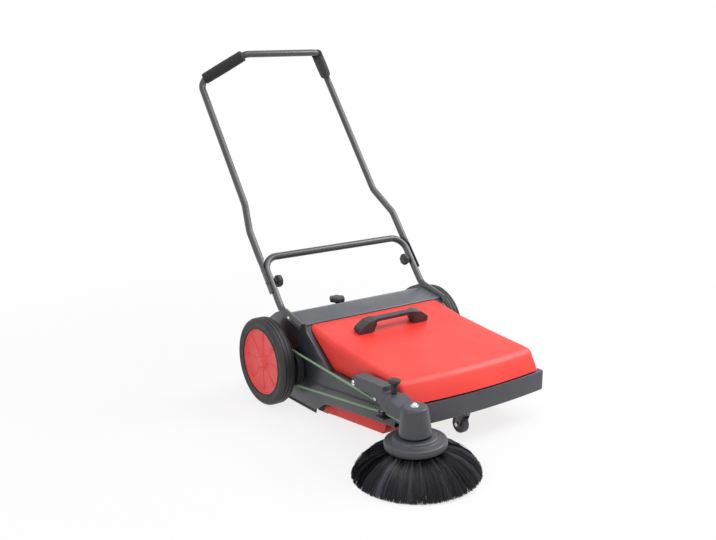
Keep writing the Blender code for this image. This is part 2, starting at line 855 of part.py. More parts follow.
def roller_rows():
    """The bristle rows of the roller as ribs on one sleeve, twisted along its length.

    The twist leans the flat facets of the sleeve inwards, so its bore is wider than the core.
    """
    bore = ROLLER_CORE_RADIUS + SLEEVE_BORE_GAP
    sleeve = bore + SLEEVE_THICKNESS
    outline = []
    for row in range(ROLLER_ROWS):
        middle = 2 * math.pi * row / ROLLER_ROWS - math.pi / 2
        for radius, half in ((sleeve, -1), (ROLLER_RADIUS, -1), (ROLLER_RADIUS, 1), (sleeve, 1)):
            width = ROW_WIDTH if radius == ROLLER_RADIUS else ROW_WIDTH / 2
            angle = middle + half * width / 2 / radius
            outline.append((radius * math.cos(angle), radius * math.sin(angle)))
    hole = circle((0, 0), bore)
    place = Matrix.Translation((0, ROLLER_Y, ROLLER_HEIGHT))
    half = ROLLER_HALF_LENGTH
    rows = flat("roller_bristles", (outline, hole), -half, half, BRISTLE, place=place)
    shape = bmesh.new()
    shape.from_mesh(rows.data)
    slices = 3
    for k in range(1, slices):
        cut_at = (0, 0, ROLLER_HALF_LENGTH * (2 * k / slices - 1))
        everything = shape.verts[:] + shape.edges[:] + shape.faces[:]
        bmesh.ops.bisect_plane(shape, geom=everything, plane_co=cut_at, plane_no=(0, 0, 1))
    for vert in shape.verts:
        turn = Matrix.Rotation(ROLLER_TWIST * vert.co.z / (2 * ROLLER_HALF_LENGTH), 3, "Z")
        vert.co = turn @ vert.co
    shape.to_mesh(rows.data)
    shape.free()
    return rows


def roller_shaft():
    """The shaft with its end collars: it runs from the drive pulley through to the left pinion."""
    right_end = PULLEY_PLANE + DRIVE_PULLEY_WIDTH / 2 + GAP
    left_end = GEAR_OUTER_FACE + GAP
    profile = [
        (0, left_end + 0.003),
        (0.011, left_end + 0.003),
        (0.011, left_end),
        (SHAFT_RADIUS, left_end),
        (SHAFT_RADIUS, -right_end),
        (0.0115, -right_end),
        (0.0115, -right_end - 0.004),
        (0, -right_end - 0.004),
    ]
    return turned("roller_shaft", profile, outward(1, ROLLER_Y, ROLLER_HEIGHT), STEEL, 16)


def pinion_phase():
    """Turns the pinion so that a gap of it meets the wheel gear's tooth on the line of centres."""
    return line_of_centres() + math.pi + math.pi / PINION_TEETH


def roller_brush(chassis):
    y, z = ROLLER_Y, ROLLER_HEIGHT
    frame = body_frame("roller_axis", upward(0, y, z), chassis)
    bore = SHAFT_RADIUS + GAP
    core = ring(ROLLER_CORE_RADIUS, bore, -ROLLER_HALF_LENGTH, ROLLER_HALF_LENGTH)
    pulley = grooved(
        DRIVE_PULLEY_RADIUS,
        bore,
        PULLEY_PLANE - DRIVE_PULLEY_WIDTH / 2,
        PULLEY_PLANE + DRIVE_PULLEY_WIDTH / 2,
    )
    pieces = [
        roller_shaft(),
        turned("roller_core", core, outward(1, y, z), PLASTIC),
        roller_rows(),
        gear("right_pinion", -1, y, z, PINION_TEETH, bore, pinion_phase(), NYLON),
        turned("drive_pulley", pulley, outward(-1, y, z), BLACK),
    ]
    adopt(frame, *pieces)
    left = body_frame("left_pinion_axis", upward(0, y, z), chassis)
    left_bore = SHAFT_RADIUS + 2 * RUNNING_FIT
    pinion = gear("left_pinion", 1, y, z, PINION_TEETH, left_bore, pinion_phase(), NYLON)
    adopt(left, pinion)


# Side brush and its arm


def spindle_frame():
    """The side brush's own frame: Z up its spindle, which leans outwards at the top."""
    lean = Matrix.Rotation(-SIDE_BRUSH_LEAN, 4, "Y")
    return upward(SIDE_BRUSH_X, SIDE_BRUSH_Y) @ lean


def arm_box():
    outline = [
        (-0.380, 0.1765),
        (-0.397, 0.206),
        (-0.440, ARM_TOP_Z),
        (-0.574, ARM_TOP_Z),
        (-0.580, ARM_STEP_Z),
        (-0.612, ARM_STEP_Z),
        (-0.612, 0.160),
        (-0.545, 0.153),
        (-0.512, 0.170),
    ]
    arm = flat("side_brush_arm", [outline], -ARM_OUTER_FACE, -ARM_INNER_FACE, PLASTIC)
    soften(arm, 0.003, 1)
    return arm


def arm_hollow():
    outline = [
        (-0.300, 0.100),
        (-0.300, ARM_PIVOT[1] + 0.010),
        (-0.406, ARM_PIVOT[1] + 0.010),
        (-0.409, 0.203),
        (-0.444, ARM_TOP_Z - ARM_WALL),
        (-0.570, ARM_TOP_Z - ARM_WALL),
        (-0.577, ARM_STEP_Z - ARM_WALL),
        (-0.608, ARM_STEP_Z - ARM_WALL),
        (-0.608, 0.100),
    ]
    low = -(ARM_OUTER_FACE - ARM_WALL)
    return flat("arm_hollow", [outline], low, -(ARM_INNER_FACE + ARM_WALL), None)


def arm_web():
    """The inner wall of the arm, from its pivot to the guide rollers."""
    pivot_y, pivot_z = ARM_PIVOT
    outline = [
        (pivot_y + 0.016, pivot_z - 0.010),
        (pivot_y + 0.016, pivot_z + 0.010),
        (pivot_y + 0.004, pivot_z + 0.022),
        (-0.425, 0.200),
        (-0.586, 0.200),
        (-0.586, SHELF_TOP - 0.005),
        (-0.545, SHELF_TOP - 0.005),
        (-0.500, 0.150),
        (pivot_y - 0.016, pivot_z - 0.016),
        (pivot_y + 0.006, pivot_z - 0.018),
    ]
    face = ARM_INNER_FACE + GAP
    return flat("arm_web", [outline], -(face + ARM_WALL - 2 * GAP), -face, None)


def arm_neck():
    """Joins the box to the spindle cover, over the two strands of the belt."""
    return flat(
        "arm_neck",
        [[(-0.584, 0.1585), (-0.584, 0.204), (-0.680, 0.198), (-0.680, 0.1585)]],
        -0.331,
        -0.264,
        None,
    )


def neck_hollow():
    return flat(
        "neck_hollow",
        [[(-0.590, 0.120), (-0.590, 0.199), (-0.690, 0.192), (-0.690, 0.120)]],
        -0.331 + ARM_WALL,
        -0.264 - ARM_WALL,
        None,
    )


def spindle_cover_shapes():
    """The outer cone of the spindle cover, its cavity and its bearing hole."""
    frame = spindle_frame()
    top, bottom = SPINDLE_COVER_TOP, SPINDLE_COVER_BOTTOM
    cone = [
        (0, top),
        (SPINDLE_COVER_TOP_RADIUS - 0.004, top),
        (SPINDLE_COVER_TOP_RADIUS, top - 0.004),
        (SPINDLE_COVER_BOTTOM_RADIUS, bottom),
        (0, bottom),
    ]
    cavity = [
        (0, top - 0.006),
        (SPINDLE_COVER_TOP_RADIUS - SHEET, top - 0.006),
        (SPINDLE_COVER_BOTTOM_RADIUS - SHEET, bottom - 0.010),
        (0, bottom - 0.010),
    ]
    hole = drum(0.0133, top - 0.015, top + 0.010)
    return (
        turned("spindle_cone", cone, frame, None),
        turned("spindle_cavity", cavity, frame, None),
        turned("spindle_hole", hole, frame, None, 20, half_turn=True),
    )


def roller_shelf():
    """A shelf under the lower guide roller, on the arm's inner wall."""
    low = (LOWER_IDLER_X - 0.012, -0.582, SHELF_TOP - 0.004)
    return box("roller_shelf", low, (-ARM_INNER_FACE - 0.001, -0.548, SHELF_TOP), None)


def side_brush_arm():
    arm = arm_box()
    cone, cavity, hole = spindle_cover_shapes()
    join(arm, arm_neck(), cone)
    cut(arm, arm_hollow(), neck_hollow(), cavity, hole)
    boss = drum(0.0055, ARM_INNER_FACE + 0.002, PULLEY_PLANE - IDLER_WIDTH / 2 - GAP)
    roller_boss = turned("roller_boss", boss, outward(-1, *UPPER_IDLER), None, 24)
    join(arm, arm_web(), roller_shelf(), roller_boss)
    knob_hole = turned(
        "knob_hole", drum(0.0033, 0.15, 0.25), upward(HEIGHT_KNOB_X, HEIGHT_KNOB_Y), None, 16
    )
    lower_hole = turned(
        "lower_idler_hole", drum(0.0033, 0.10, 0.15), upward(LOWER_IDLER_X, LOWER_IDLER_Y), None, 16
    )
    cut(
        arm,
        belt_window(),
        cross_hole("arm_pivot_hole", -1, *ARM_PIVOT, 0.0052, 0.27, 0.30),
        cross_hole("upper_idler_hole", -1, *UPPER_IDLER, 0.0033, 0.27, 0.30),
        knob_hole,
        lower_hole,
    )
    return arm


def belt_window():
    """The opening in the back of the spindle cover, where both strands of the belt go in."""
    return box("belt_window", (-0.334, -0.683, 0.128), (-0.263, -0.640, 0.178), None)


def height_knob(chassis_arm):
    """The screw that sets the lowest place of the side brush arm, with its round knob."""
    tip = BUMPER_TOP - 0.0005 + GAP
    profile = [
        (0, 0.2440),
        (0.011, 0.2440),
        (0.015, 0.2410),
        (0.015, 0.2300),
        (0.0095, 0.2260),
        (0.0075, 0.2120),
        (0.0075, ARM_STEP_Z + GAP),
        (0.0030, ARM_STEP_Z + GAP),
        (0.0030, tip),
        (0, tip),
    ]
    place = upward(HEIGHT_KNOB_X, HEIGHT_KNOB_Y)
    frame = body_frame("height_knob_axis", place, chassis_arm)
    adopt(frame, turned("height_knob", profile, place, BLACK, 16))


def guide_rollers(arm_frame):
    """Two belt rollers on the arm: the upper turns about X, the lower about Z."""
    y, z = UPPER_IDLER
    bore = running_bore(0.003, 16)
    upper_low = PULLEY_PLANE - IDLER_WIDTH / 2
    upper_place = outward(-1, y, z)
    upper = body_frame("upper_roller_axis", upward(0, y, z), arm_frame)
    profile = grooved(IDLER_RADIUS, bore, upper_low, upper_low + IDLER_WIDTH)
    adopt(upper, turned("upper_guide_roller", profile, upper_place, BLACK, 16))
    upper_bolt = [
        (0, upper_low + IDLER_WIDTH + 0.0035),
        (0.006, upper_low + IDLER_WIDTH + 0.0035),
        (0.006, upper_low + IDLER_WIDTH + GAP),
        (0.003, upper_low + IDLER_WIDTH + GAP),
        (0.003, ARM_INNER_FACE - GAP),
        (0, ARM_INNER_FACE - GAP),
    ]
    lower_place = upward(LOWER_IDLER_X, LOWER_IDLER_Y)
    low = LOWER_IDLER_Z - IDLER_WIDTH / 2
    lower = body_frame("lower_roller_axis", lower_place, arm_frame)
    profile = grooved(IDLER_RADIUS, bore, low, low + IDLER_WIDTH)
    adopt(lower, turned("lower_guide_roller", profile, lower_place, BLACK, 16))
    lower_bolt = [
        (0, low + IDLER_WIDTH + 0.0035),
        (0.006, low + IDLER_WIDTH + 0.0035),
        (0.006, low + IDLER_WIDTH + GAP),
        (0.003, low + IDLER_WIDTH + GAP),
        (0.003, SHELF_TOP - 0.004 - GAP),
        (0.006, SHELF_TOP - 0.004 - GAP),
        (0.006, SHELF_TOP - 0.008),
        (0, SHELF_TOP - 0.008),
    ]
    adopt(
        arm_frame,
        turned("upper_roller_bolt", upper_bolt, upper_place, STEEL, 12),
        turned("lower_roller_bolt", lower_bolt, lower_place, STEEL, 12),
    )


def spindle_bush():
    top = SPINDLE_COVER_TOP
    bore = running_bore(SPINDLE_RADIUS, 16)
    profile = [
        (0.013, top + GAP),
        (0.013, top - 0.006 - GAP),
        (0.017, top - 0.006 - GAP),
        (0.017, top - 0.010),
        (bore, top - 0.010),
        (bore, top + GAP),
    ]
    return turned("spindle_bush", profile, spindle_frame(), BRONZE, 16)


def brush_ring():
    """The stepped plastic ring that holds the bristles, with a boss up to the pulley."""
    profile = [
        (0.016, PULLEY_BOTTOM - GAP),
        (0.016, RING_TOP),
        (0.040, RING_TOP),
        (0.047, RING_TOP - 0.003),
        (0.072, RING_TOP - 0.007),
        (0.079, RING_TOP - 0.010),
        (RING_RADIUS, RING_TOP - 0.015),
        (RING_RADIUS, RING_BOTTOM + 0.003),
        (RING_RADIUS - 0.003, RING_BOTTOM),
        (SPINDLE_RADIUS + GAP, RING_BOTTOM),
        (SPINDLE_RADIUS + GAP, PULLEY_BOTTOM - GAP),
    ]
    return turned("brush_ring", profile, spindle_frame(), PLASTIC)


def brush_pulley():
    bore = SPINDLE_RADIUS + GAP
    top = PULLEY_BOTTOM + BRUSH_PULLEY_WIDTH
    profile = grooved(BRUSH_PULLEY_RADIUS, bore, PULLEY_BOTTOM, top, 0.0062)
    hub_top = SPINDLE_COVER_TOP - 0.010 - GAP
    hub = [(bore, hub_top), (0.012, hub_top), (0.012, top)]
    return turned("brush_pulley", hub + profile[:-1], spindle_frame(), BLACK, 20)


def spindle():
    """The spindle: a head under the brush ring, and a thread at the top for the cap nut."""
    profile = [
        (0, SPINDLE_COVER_TOP + 0.006),
        (0.005, SPINDLE_COVER_TOP + 0.006),
        (0.005, SPINDLE_COVER_TOP + 2 * GAP),
        (SPINDLE_RADIUS, SPINDLE_COVER_TOP + 2 * GAP),
        (SPINDLE_RADIUS, RING_BOTTOM - GAP),
        (0.013, RING_BOTTOM - GAP),
        (0.013, RING_BOTTOM - 0.008),
        (0, RING_BOTTOM - 0.008),
    ]
    return turned("side_brush_spindle", profile, spindle_frame(), STEEL, 16)


def cap_nut():
    base = SPINDLE_COVER_TOP + 3 * GAP
    profile = [
        (0, base + 0.0095),
        (0.005, base + 0.0085),
        (0.009, base + 0.0055),
        (0.011, base + 0.003),
        (0.011, base),
        (0.005 + GAP, base),
        (0.005 + GAP, base + 0.006),
        (0, base + 0.006),
    ]
    return turned("cap_nut", profile, spindle_frame(), STEEL, 16)


def strand(shape, root, tip):
    """One bristle: a slim three-sided cone from its root in the backing to its tip."""
    along = tip - root
    place = Matrix.Translation((root + tip) / 2) @ along.to_track_quat("Z", "X").to_matrix().to_4x4()
    bmesh.ops.create_cone(
        shape,
        cap_ends=True,
        segments=3,
        radius1=STRAND_RADIUS,
        radius2=0,
        depth=along.length,
        matrix=place,
    )


def side_brush_bristles():
    """Rows of splayed bristles fused to the underside of a flat backing ring."""
    lift = SIDE_BRUSH_RADIUS * math.sin(SIDE_BRUSH_LEAN)
    tip_height = (0.001 + lift) / math.cos(SIDE_BRUSH_LEAN)
    top = RING_BOTTOM - GAP
    backing = turned(
        "side_brush_bristles",
        ring(RING_RADIUS - 0.003, 0.046, top - 0.006, top),
        spindle_frame(),
        BRISTLE,
    )
    shape = bmesh.new()
    for row in range(STRAND_ROWS):
        share = row / (STRAND_ROWS - 1)
        root_radius = 0.054 + 0.0235 * share
        tip_radius = SIDE_BRUSH_RADIUS - 0.044 * (1 - share)
        for k in range(STRANDS_PER_ROW):
            angle = 2 * math.pi * (k + 0.5 * (row % 2)) / STRANDS_PER_ROW
            around = Vector((math.cos(angle), math.sin(angle), 0))
            root = around * root_radius + Vector((0, 0, top - 0.003))
            tip = around * tip_radius + Vector((0, 0, tip_height))
            strand(shape, root, tip)
    mesh = bpy.data.meshes.new("strands")
    shape.to_mesh(mesh)
    shape.free()
    strands = add_object("strands", mesh, None, spindle_frame())
    join(backing, strands)
    return backing


def side_brush(chassis):
    """The arm with everything it carries, and the brush that spins on its spindle."""
    arm_frame = body_frame("arm_pivot_axis", upward(0, *ARM_PIVOT), chassis)
    adopt(arm_frame, side_brush_arm(), spindle_bush())
    guide_rollers(arm_frame)
    height_knob(arm_frame)
    frame = body_frame("spindle_axis", spindle_frame(), arm_frame)
    adopt(frame, brush_ring(), brush_pulley(), spindle(), cap_nut(), side_brush_bristles())


# Belt


def tangent_point(centre, radius, outside, side):
    """Where a line from an outside point touches a circle; side picks which of the two touches."""
    centre, outside = Vector(centre), Vector(outside)
    to_point = outside - centre
    turn = math.acos(radius / to_point.length) * side
    direction = Matrix.Rotation(turn, 2) @ to_point.normalized()
    return centre + direction * radius


def belt_route():
    """The closed middle line of the belt: drive pulley, upper strand, brush pulley, lower strand."""
    pulley = (ROLLER_Y, ROLLER_HEIGHT)
    upper_touch = (UPPER_IDLER[0], UPPER_IDLER[1] - IDLER_RADIUS)
    lower_touch = (LOWER_IDLER_Y, LOWER_IDLER_Z)
    top = tangent_point(pulley, DRIVE_PULLEY_RADIUS, upper_touch, -1)
    bottom = tangent_point(pulley, DRIVE_PULLEY_RADIUS, lower_touch, 1)
    start = math.atan2(bottom.y - pulley[1], bottom.x - pulley[0])
    end = math.atan2(top.y - pulley[1], top.x - pulley[0])
    route = []
    count = 14
    for k in range(count + 1):
        angle = start + (end - start) * k / count
        y = pulley[0] + DRIVE_PULLEY_RADIUS * math.cos(angle)
        z = pulley[1] + DRIVE_PULLEY_RADIUS * math.sin(angle)
        route.append(Vector((-PULLEY_PLANE, y, z)))
    upper = Vector((-PULLEY_PLANE, *upper_touch))
    lower = Vector((-PULLEY_PLANE, *lower_touch))
    frame = spindle_frame()
    middle = (frame @ Vector((0, 0, PULLEY_MIDDLE))).xy
    inner = tangent_point(middle, BRUSH_PULLEY_RADIUS, upper.xy, -1) - middle
    outer = tangent_point(middle, BRUSH_PULLEY_RADIUS, lower.xy, 1) - middle
    first = math.atan2(inner.y, inner.x)
    last = math.atan2(outer.y, outer.x) - 2 * math.pi
    turns = 12
    around = []
    for k in range(turns + 1):
        angle = first + (last - first) * k / turns
        local = (BRUSH_PULLEY_RADIUS * math.cos(angle), BRUSH_PULLEY_RADIUS * math.sin(angle))
        around.append(frame @ Vector((*local, PULLEY_MIDDLE)))
    route += rounded([route[-1], upper, around[0]], (0.03,))[1:-1]
    route += around
    route += rounded([around[-1], lower, route[0]], (0.03,))[1:-1]
    return route


def drive_belt():
    return tube("drive_belt", belt_route(), BELT_RADIUS, BELT, closed=True, resolution=2)


# Hopper


def lid_top(y):
    """The height of the lid's top surface above a place along the machine."""
    for (near_y, near_z), (far_y, far_z) in zip(LID_TOP, LID_TOP[1:]):
        if y >= far_y or (far_y, far_z) == LID_TOP[-1]:
            return near_z + (far_z - near_z) * (y - near_y) / (far_y - near_y)


def hopper_lid():
    """The red cover: a shell with sloping top, bowed front and slanted rear edges, open below."""
    shape = bmesh.new()
    bmesh.ops.create_cube(shape, size=1, matrix=Matrix.Translation((0.5, 0.5, 0.5)))
    slices = [((k / 6, 0, 0), (1, 0, 0)) for k in range(1, 6)]
    slices += [((0, k / 3, 0), (0, 1, 0)) for k in (1, 2)]
    for plane_co, plane_no in slices:
        everything = shape.verts[:] + shape.edges[:] + shape.faces[:]
        bmesh.ops.bisect_plane(shape, geom=everything, plane_co=plane_co, plane_no=plane_no)
    openings = [face for face in shape.faces if face.normal.z < -0.5 or face.normal.y < -0.5]
    bmesh.ops.delete(shape, geom=openings, context="FACES_ONLY")
    for vert in shape.verts:
        across, section, up = vert.co.x, round(vert.co.y * 3), vert.co.z
        x = (2 * across - 1) * LID_HALF_WIDTH
        bow = BUMPER_BOW * (1 - (x / LID_HALF_WIDTH) ** 2) if section == 3 else 0
        if up > 0.5:
            y, z = LID_TOP[section]
        else:
            y = LID_FOOT_Y[section]
            z = RAIL_TOP_Z + GAP - (0.0058 if section == 3 else 0)
        vert.co = (x, y - bow, z)
    bmesh.ops.recalc_face_normals(shape, faces=shape.faces)
    mesh = bpy.data.meshes.new("hopper_lid")
    shape.to_mesh(mesh)
    shape.free()
    lid = add_object("hopper_lid", mesh, RED)
    if sum(face.normal.z * face.area for face in mesh.polygons) < 0:
        mesh.flip_normals()
    soften(lid, 0.012, 3)
    shell = lid.modifiers.new("wall", "SOLIDIFY")
    shell.thickness = SHEET
    shell.offset = -1
    shell.use_even_offset = True
    return lid


def hopper_bin():
    """The bin under the lid: floor, front wall and side walls, open above and at the rear mouth."""
    front = [(BIN_FRONT_Y + 0.012, BIN_FRONT_Z), (BIN_FRONT_Y, 0.075), (BIN_FRONT_Y, 0.163)]
    floor_path = [BIN_REAR] + front
    half = BIN_HALF_WIDTH
    bin_shape = flat("hopper_bin", [strip(floor_path, SHEET)], -half, half, RED)
    wall = floor_path + [(-0.2635, 0.163)]
    for side in (-1, 1):
        low, high = sorted((side * (half - SHEET), side * half))
        join(bin_shape, flat(f"{side_name(side)}_bin_wall", [wall], low, high, RED))
    return bin_shape


def hopper_grip():
    """The carry handle: two feet on the lid and a slim bar between them."""
    tilt = math.atan2(LID_TOP[0][1] - LID_TOP[1][1], LID_TOP[0][0] - LID_TOP[1][0])
    place = Matrix.Translation((GRIP_CENTRE_X, GRIP_Y, lid_top(GRIP_Y) + GAP))
    place = place @ Matrix.Rotation(tilt, 4, "X")
    half = GRIP_LENGTH / 2
    arch = [(-half, 0), (-half + 0.004, 0.016), (-half + 0.030, 0.036), (-half + 0.050, 0.041)]
    under = [(half - 0.052, 0), (half - 0.060, 0.020), (half - 0.070, 0.026)]
    outline = arch + [(-x, z) for x, z in arch[::-1]] + under + [(-x, z) for x, z in under[::-1]]
    reach = GRIP_WIDTH / 2
    grip = flat("hopper_grip", [outline], -reach, reach, PLASTIC, "Y", place)
    soften(grip, 0.003)
    return grip


def hopper_lip():
    """The rubber strip that scrapes the floor in front of the hopper's mouth."""
    outline = [(-0.2135, 0.0265), (-0.2105, 0.0268), (-0.1985, 0.004), (-0.2015, 0.004)]
    half = BIN_HALF_WIDTH - 0.002
    return flat("hopper_lip", [outline], -half, half, RUBBER)


def hopper(chassis):
    frame = body_frame("hopper_slide", upward(0, GRIP_Y, lid_top(GRIP_Y)), chassis)
    adopt(frame, hopper_lid(), hopper_bin(), hopper_grip(), hopper_lip())


# Upper handle


def upper_route():
    bend = leg_point(UPPER_LEG_BEND, UPPER_HANDLE_X)
    corners = [
        leg_point(UPPER_LEG_START, UPPER_HANDLE_X),
        bend,
        (TOP_BEND_X, *TOP_BEND),
        (TOP_BEND_X, *GRIP_CORNER),
        (TOP_BAR_X, *TOP_BAR),
        (0, *TOP_BAR),
    ]
    return rounded(corners, (0.060, 0.060, 0.055, 0.045))[:-1]


def foam_route():
    """The middle line of a grip, on the slanted run between the handle's two upper corners."""
    corner, bar = Vector((TOP_BEND_X, *GRIP_CORNER)), Vector((TOP_BAR_X, *TOP_BAR))
    along = (bar - corner).normalized()
    ahead = (Vector((0, *TOP_BAR)) - bar).normalized()
    below = (corner - Vector((TOP_BEND_X, *TOP_BEND))).normalized()
    lower = 0.055 * math.tan(along.angle(below) / 2)
    upper = 0.045 * math.tan(along.angle(ahead) / 2)
    return [corner + along * (lower + 0.002), bar - along * (upper + 0.002)]


def upper_handle(chassis):
    clamp = leg_point(CLAMP_ALONG, 0)
    frame = body_frame("handle_fold_axis", upward(0, *clamp[1:]), chassis)
    handle = tube("upper_handle", mirrored(upper_route()), TUBE_RADIUS, PAINT, TUBE_WALL)
    for side in (-1, 1):
        name = side_name(side)
        hole = cross_hole(f"{name}_fold_hole", side, *clamp[1:], 0.0043, 0.26, 0.31)
        cut(handle, hole)
        route = [Vector((side * x, y, z)) for x, y, z in foam_route()]
        wall = FOAM_RADIUS - running_bore(TUBE_RADIUS + 2 * RUNNING_FIT, 12)
        adopt(frame, tube(f"{name}_foam_grip", route, FOAM_RADIUS, FOAM, wall, resolution=4))
    adopt(frame, handle)


def lobed(radius, lobes, depth):
    """The outline of a star knob."""
    count = lobes * 4
    outline = []
    for k in range(count):
        angle = 2 * math.pi * k / count
        reach = radius - depth * (1 - math.cos(lobes * angle)) / 2
        outline.append((reach * math.cos(angle), reach * math.sin(angle)))
    return outline


def clamp_knob(side, chassis):
    """A star knob on the inner end of the clamp bolt."""
    name = side_name(side)
    y, z = leg_point(CLAMP_ALONG, 0)[1:]
    face = LOWER_HANDLE_X - TUBE_RADIUS - GAP
    outline = [(y + u, z + v) for u, v in lobed(KNOB_RADIUS, 5, 0.003)]
    low, high = sorted((side * (face - 0.024), side * (face - 0.007)))
    knob = flat(f"{name}_clamp_knob", [outline], low, high, BLACK)
    soften(knob, 0.0025, 1, 60)
    neck = drum(0.0085, face - 0.012, face)
    join(knob, turned(f"{name}_knob_neck", neck, outward(side, y, z), None, 12))
    bore = CLAMP_BOLT_RADIUS + GAP
    cut(knob, cross_hole(f"{name}_knob_bore", side, y, z, bore, 0.232, face + 0.010))
    frame = body_frame(f"{name}_knob_axis", upward(0, y, z), chassis)
    adopt(frame, knob)


def rear_knob(chassis):
    """A star knob whose stem goes down through the back of the housing."""
    place = upward(*REAR_KNOB)
    outline = [(REAR_KNOB[0] + u, REAR_KNOB[1] + v) for u, v in lobed(REAR_KNOB_RADIUS, 6, 0.005)]
    knob = flat("rear_knob", [outline], 0.2860, 0.3020, BLACK, "Z")
    soften(knob, 0.003, 1, 60)
    stem = [
        (0, 0.2880),
        (0.010, 0.2880),
        (0.010, 0.2790),
        (0.006, 0.2790),
        (0.006, 0.2620),
        (0.010, 0.2620),
        (0.010, 0.2560),
        (0, 0.2560),
    ]
    join(knob, turned("rear_knob_stem", stem, place, None, 12))
    frame = body_frame("rear_knob_axis", place, chassis)
    adopt(frame, knob)


# Caster


def caster(chassis):
    axis = upward(0, CASTER_Y)
    axle = (CASTER_Y + CASTER_TRAIL, CASTER_AXLE_HEIGHT)
    swivel = body_frame("caster_swivel_axis", axis, chassis)
    inside = CASTER_WIDTH / 2 + 0.0015
    crown = ring(0.018, running_bore(0.0051, 24), FORK_TOP - 0.003, FORK_TOP + 0.0095)
    fork = turned("caster_fork", crown, axis, STEEL)
    for side in (-1, 1):
        low, high = sorted((side * inside, side * (inside + 0.0025)))
        outline = [
            (CASTER_Y - 0.014, FORK_TOP),
            (CASTER_Y + 0.016, FORK_TOP),
            (axle[0] + 0.008, axle[1] - 0.006),
            (axle[0] - 0.008, axle[1] - 0.006),
        ]
        hole = circle(axle, 0.004 + GAP, 16)
        join(fork, flat(f"{side_name(side)}_fork_cheek", [outline, hole], low, high, STEEL))
    pin_end = inside + 0.0025 + GAP
    pin = [
        (0, pin_end + 0.003),
        (0.006, pin_end + 0.003),
        (0.006, pin_end),
        (0.004, pin_end),
        (0.004, -pin_end),
        (0.006, -pin_end),
        (0.006, -pin_end - 0.003),
        (0, -pin_end - 0.003),
    ]
    adopt(swivel, fork, turned("caster_axle", pin, outward(1, *axle), STEEL, 12))
    rolling = body_frame("caster_wheel_axis", upward(0, *axle), swivel)
    half = CASTER_WIDTH / 2
    profile = [
        (CASTER_RADIUS - 0.003, half),
        (CASTER_RADIUS, half - 0.003),
        (CASTER_RADIUS, -half + 0.003),
        (CASTER_RADIUS - 0.003, -half),
        (running_bore(0.004, CASTER_SIDES), -half),
        (running_bore(0.004, CASTER_SIDES), half),
    ]
    place = outward(1, *axle)
    wheel_shape = turned("caster_wheel", profile, place, BLACK, CASTER_SIDES, half_turn=True)
    adopt(rolling, wheel_shape)


def centre_on_floor(root):
    """Moves the root so that the origin lies under the middle of the machine's box."""
    for cutter in CUTTERS.objects:
        cutter.parent = root
    bpy.context.view_layer.update()
    graph = bpy.context.evaluated_depsgraph_get()
    corners = []
    for obj in PARTS.objects:
        if obj.type == "MESH":
            shape = obj.evaluated_get(graph)
            corners += [shape.matrix_world @ vert.co for vert in shape.data.vertices]
    middle = [(min(c[k] for c in corners) + max(c[k] for c in corners)) / 2 for k in (0, 1)]
    root.location = (-middle[0], -middle[1], -min(c.z for c in corners))
    bpy.context.view_layer.update()
    print("machine frame moved by", [round(value, 6) for value in root.location])


def main():
    root = body_frame("sweeper", Matrix.Identity(4))
    pieces = [brush_housing(), front_bumper(), front_crossmember(), lower_handle()]
    for side in (-1, 1):
        pieces += [side_plate(side), stub_axle(side), brush_bearing(side)]
    pieces += rubber_skirts() + chassis_bolts() + [arm_pivot_bolt(), caster_plate(), drive_belt()]
    adopt(root, *pieces)
    for side in (-1, 1):
        wheel(side, root)
        clamp_knob(side, root)
    roller_brush(root)
    side_brush(root)
    hopper(root)
    upper_handle(root)
    rear_knob(root)
    caster(root)
    centre_on_floor(root)


main()
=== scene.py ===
# %% [markdown]
# # A push sweeper
# The machine stands on the floor, pushed towards -Y. Its working model is loaded as a fixed frame of
# plain solids. Each step below takes one piece of the real machine, says what it is, and either gives
# the plain solid a better finish or puts a detailed piece in its place.

# %% Load the frame
import json
import math

import bmesh
import bpy
import numpy as np
from mathutils import Matrix, Vector


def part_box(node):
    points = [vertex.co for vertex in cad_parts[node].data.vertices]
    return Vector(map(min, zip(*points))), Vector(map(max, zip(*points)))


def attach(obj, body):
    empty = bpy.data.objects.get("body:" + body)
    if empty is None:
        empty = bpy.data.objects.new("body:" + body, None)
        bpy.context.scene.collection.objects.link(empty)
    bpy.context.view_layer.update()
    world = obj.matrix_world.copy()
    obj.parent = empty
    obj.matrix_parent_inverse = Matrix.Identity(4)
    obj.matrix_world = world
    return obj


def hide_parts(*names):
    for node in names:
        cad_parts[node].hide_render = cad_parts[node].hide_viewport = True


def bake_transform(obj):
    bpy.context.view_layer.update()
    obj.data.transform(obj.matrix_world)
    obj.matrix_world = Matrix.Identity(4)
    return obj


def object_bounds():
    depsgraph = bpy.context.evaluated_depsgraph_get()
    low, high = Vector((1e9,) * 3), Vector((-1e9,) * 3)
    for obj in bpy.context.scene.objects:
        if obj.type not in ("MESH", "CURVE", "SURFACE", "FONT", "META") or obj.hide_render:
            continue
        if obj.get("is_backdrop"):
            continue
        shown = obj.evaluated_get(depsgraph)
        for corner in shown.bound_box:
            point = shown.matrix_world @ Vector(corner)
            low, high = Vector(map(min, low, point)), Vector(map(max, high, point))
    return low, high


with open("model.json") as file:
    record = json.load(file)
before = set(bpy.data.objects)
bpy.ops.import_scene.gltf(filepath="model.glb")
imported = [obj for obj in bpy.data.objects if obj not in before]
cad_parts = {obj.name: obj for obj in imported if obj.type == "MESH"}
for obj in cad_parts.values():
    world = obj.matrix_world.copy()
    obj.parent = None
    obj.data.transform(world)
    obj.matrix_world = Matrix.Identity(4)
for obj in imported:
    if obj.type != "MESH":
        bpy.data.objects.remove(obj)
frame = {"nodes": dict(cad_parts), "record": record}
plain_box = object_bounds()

# %% [markdown]
# All the sizes below count from the drive axle: x across, y from the axle, z from the floor. The frame
# has its origin under the middle of the machine, so the two wheels tell how far the axle is from it.

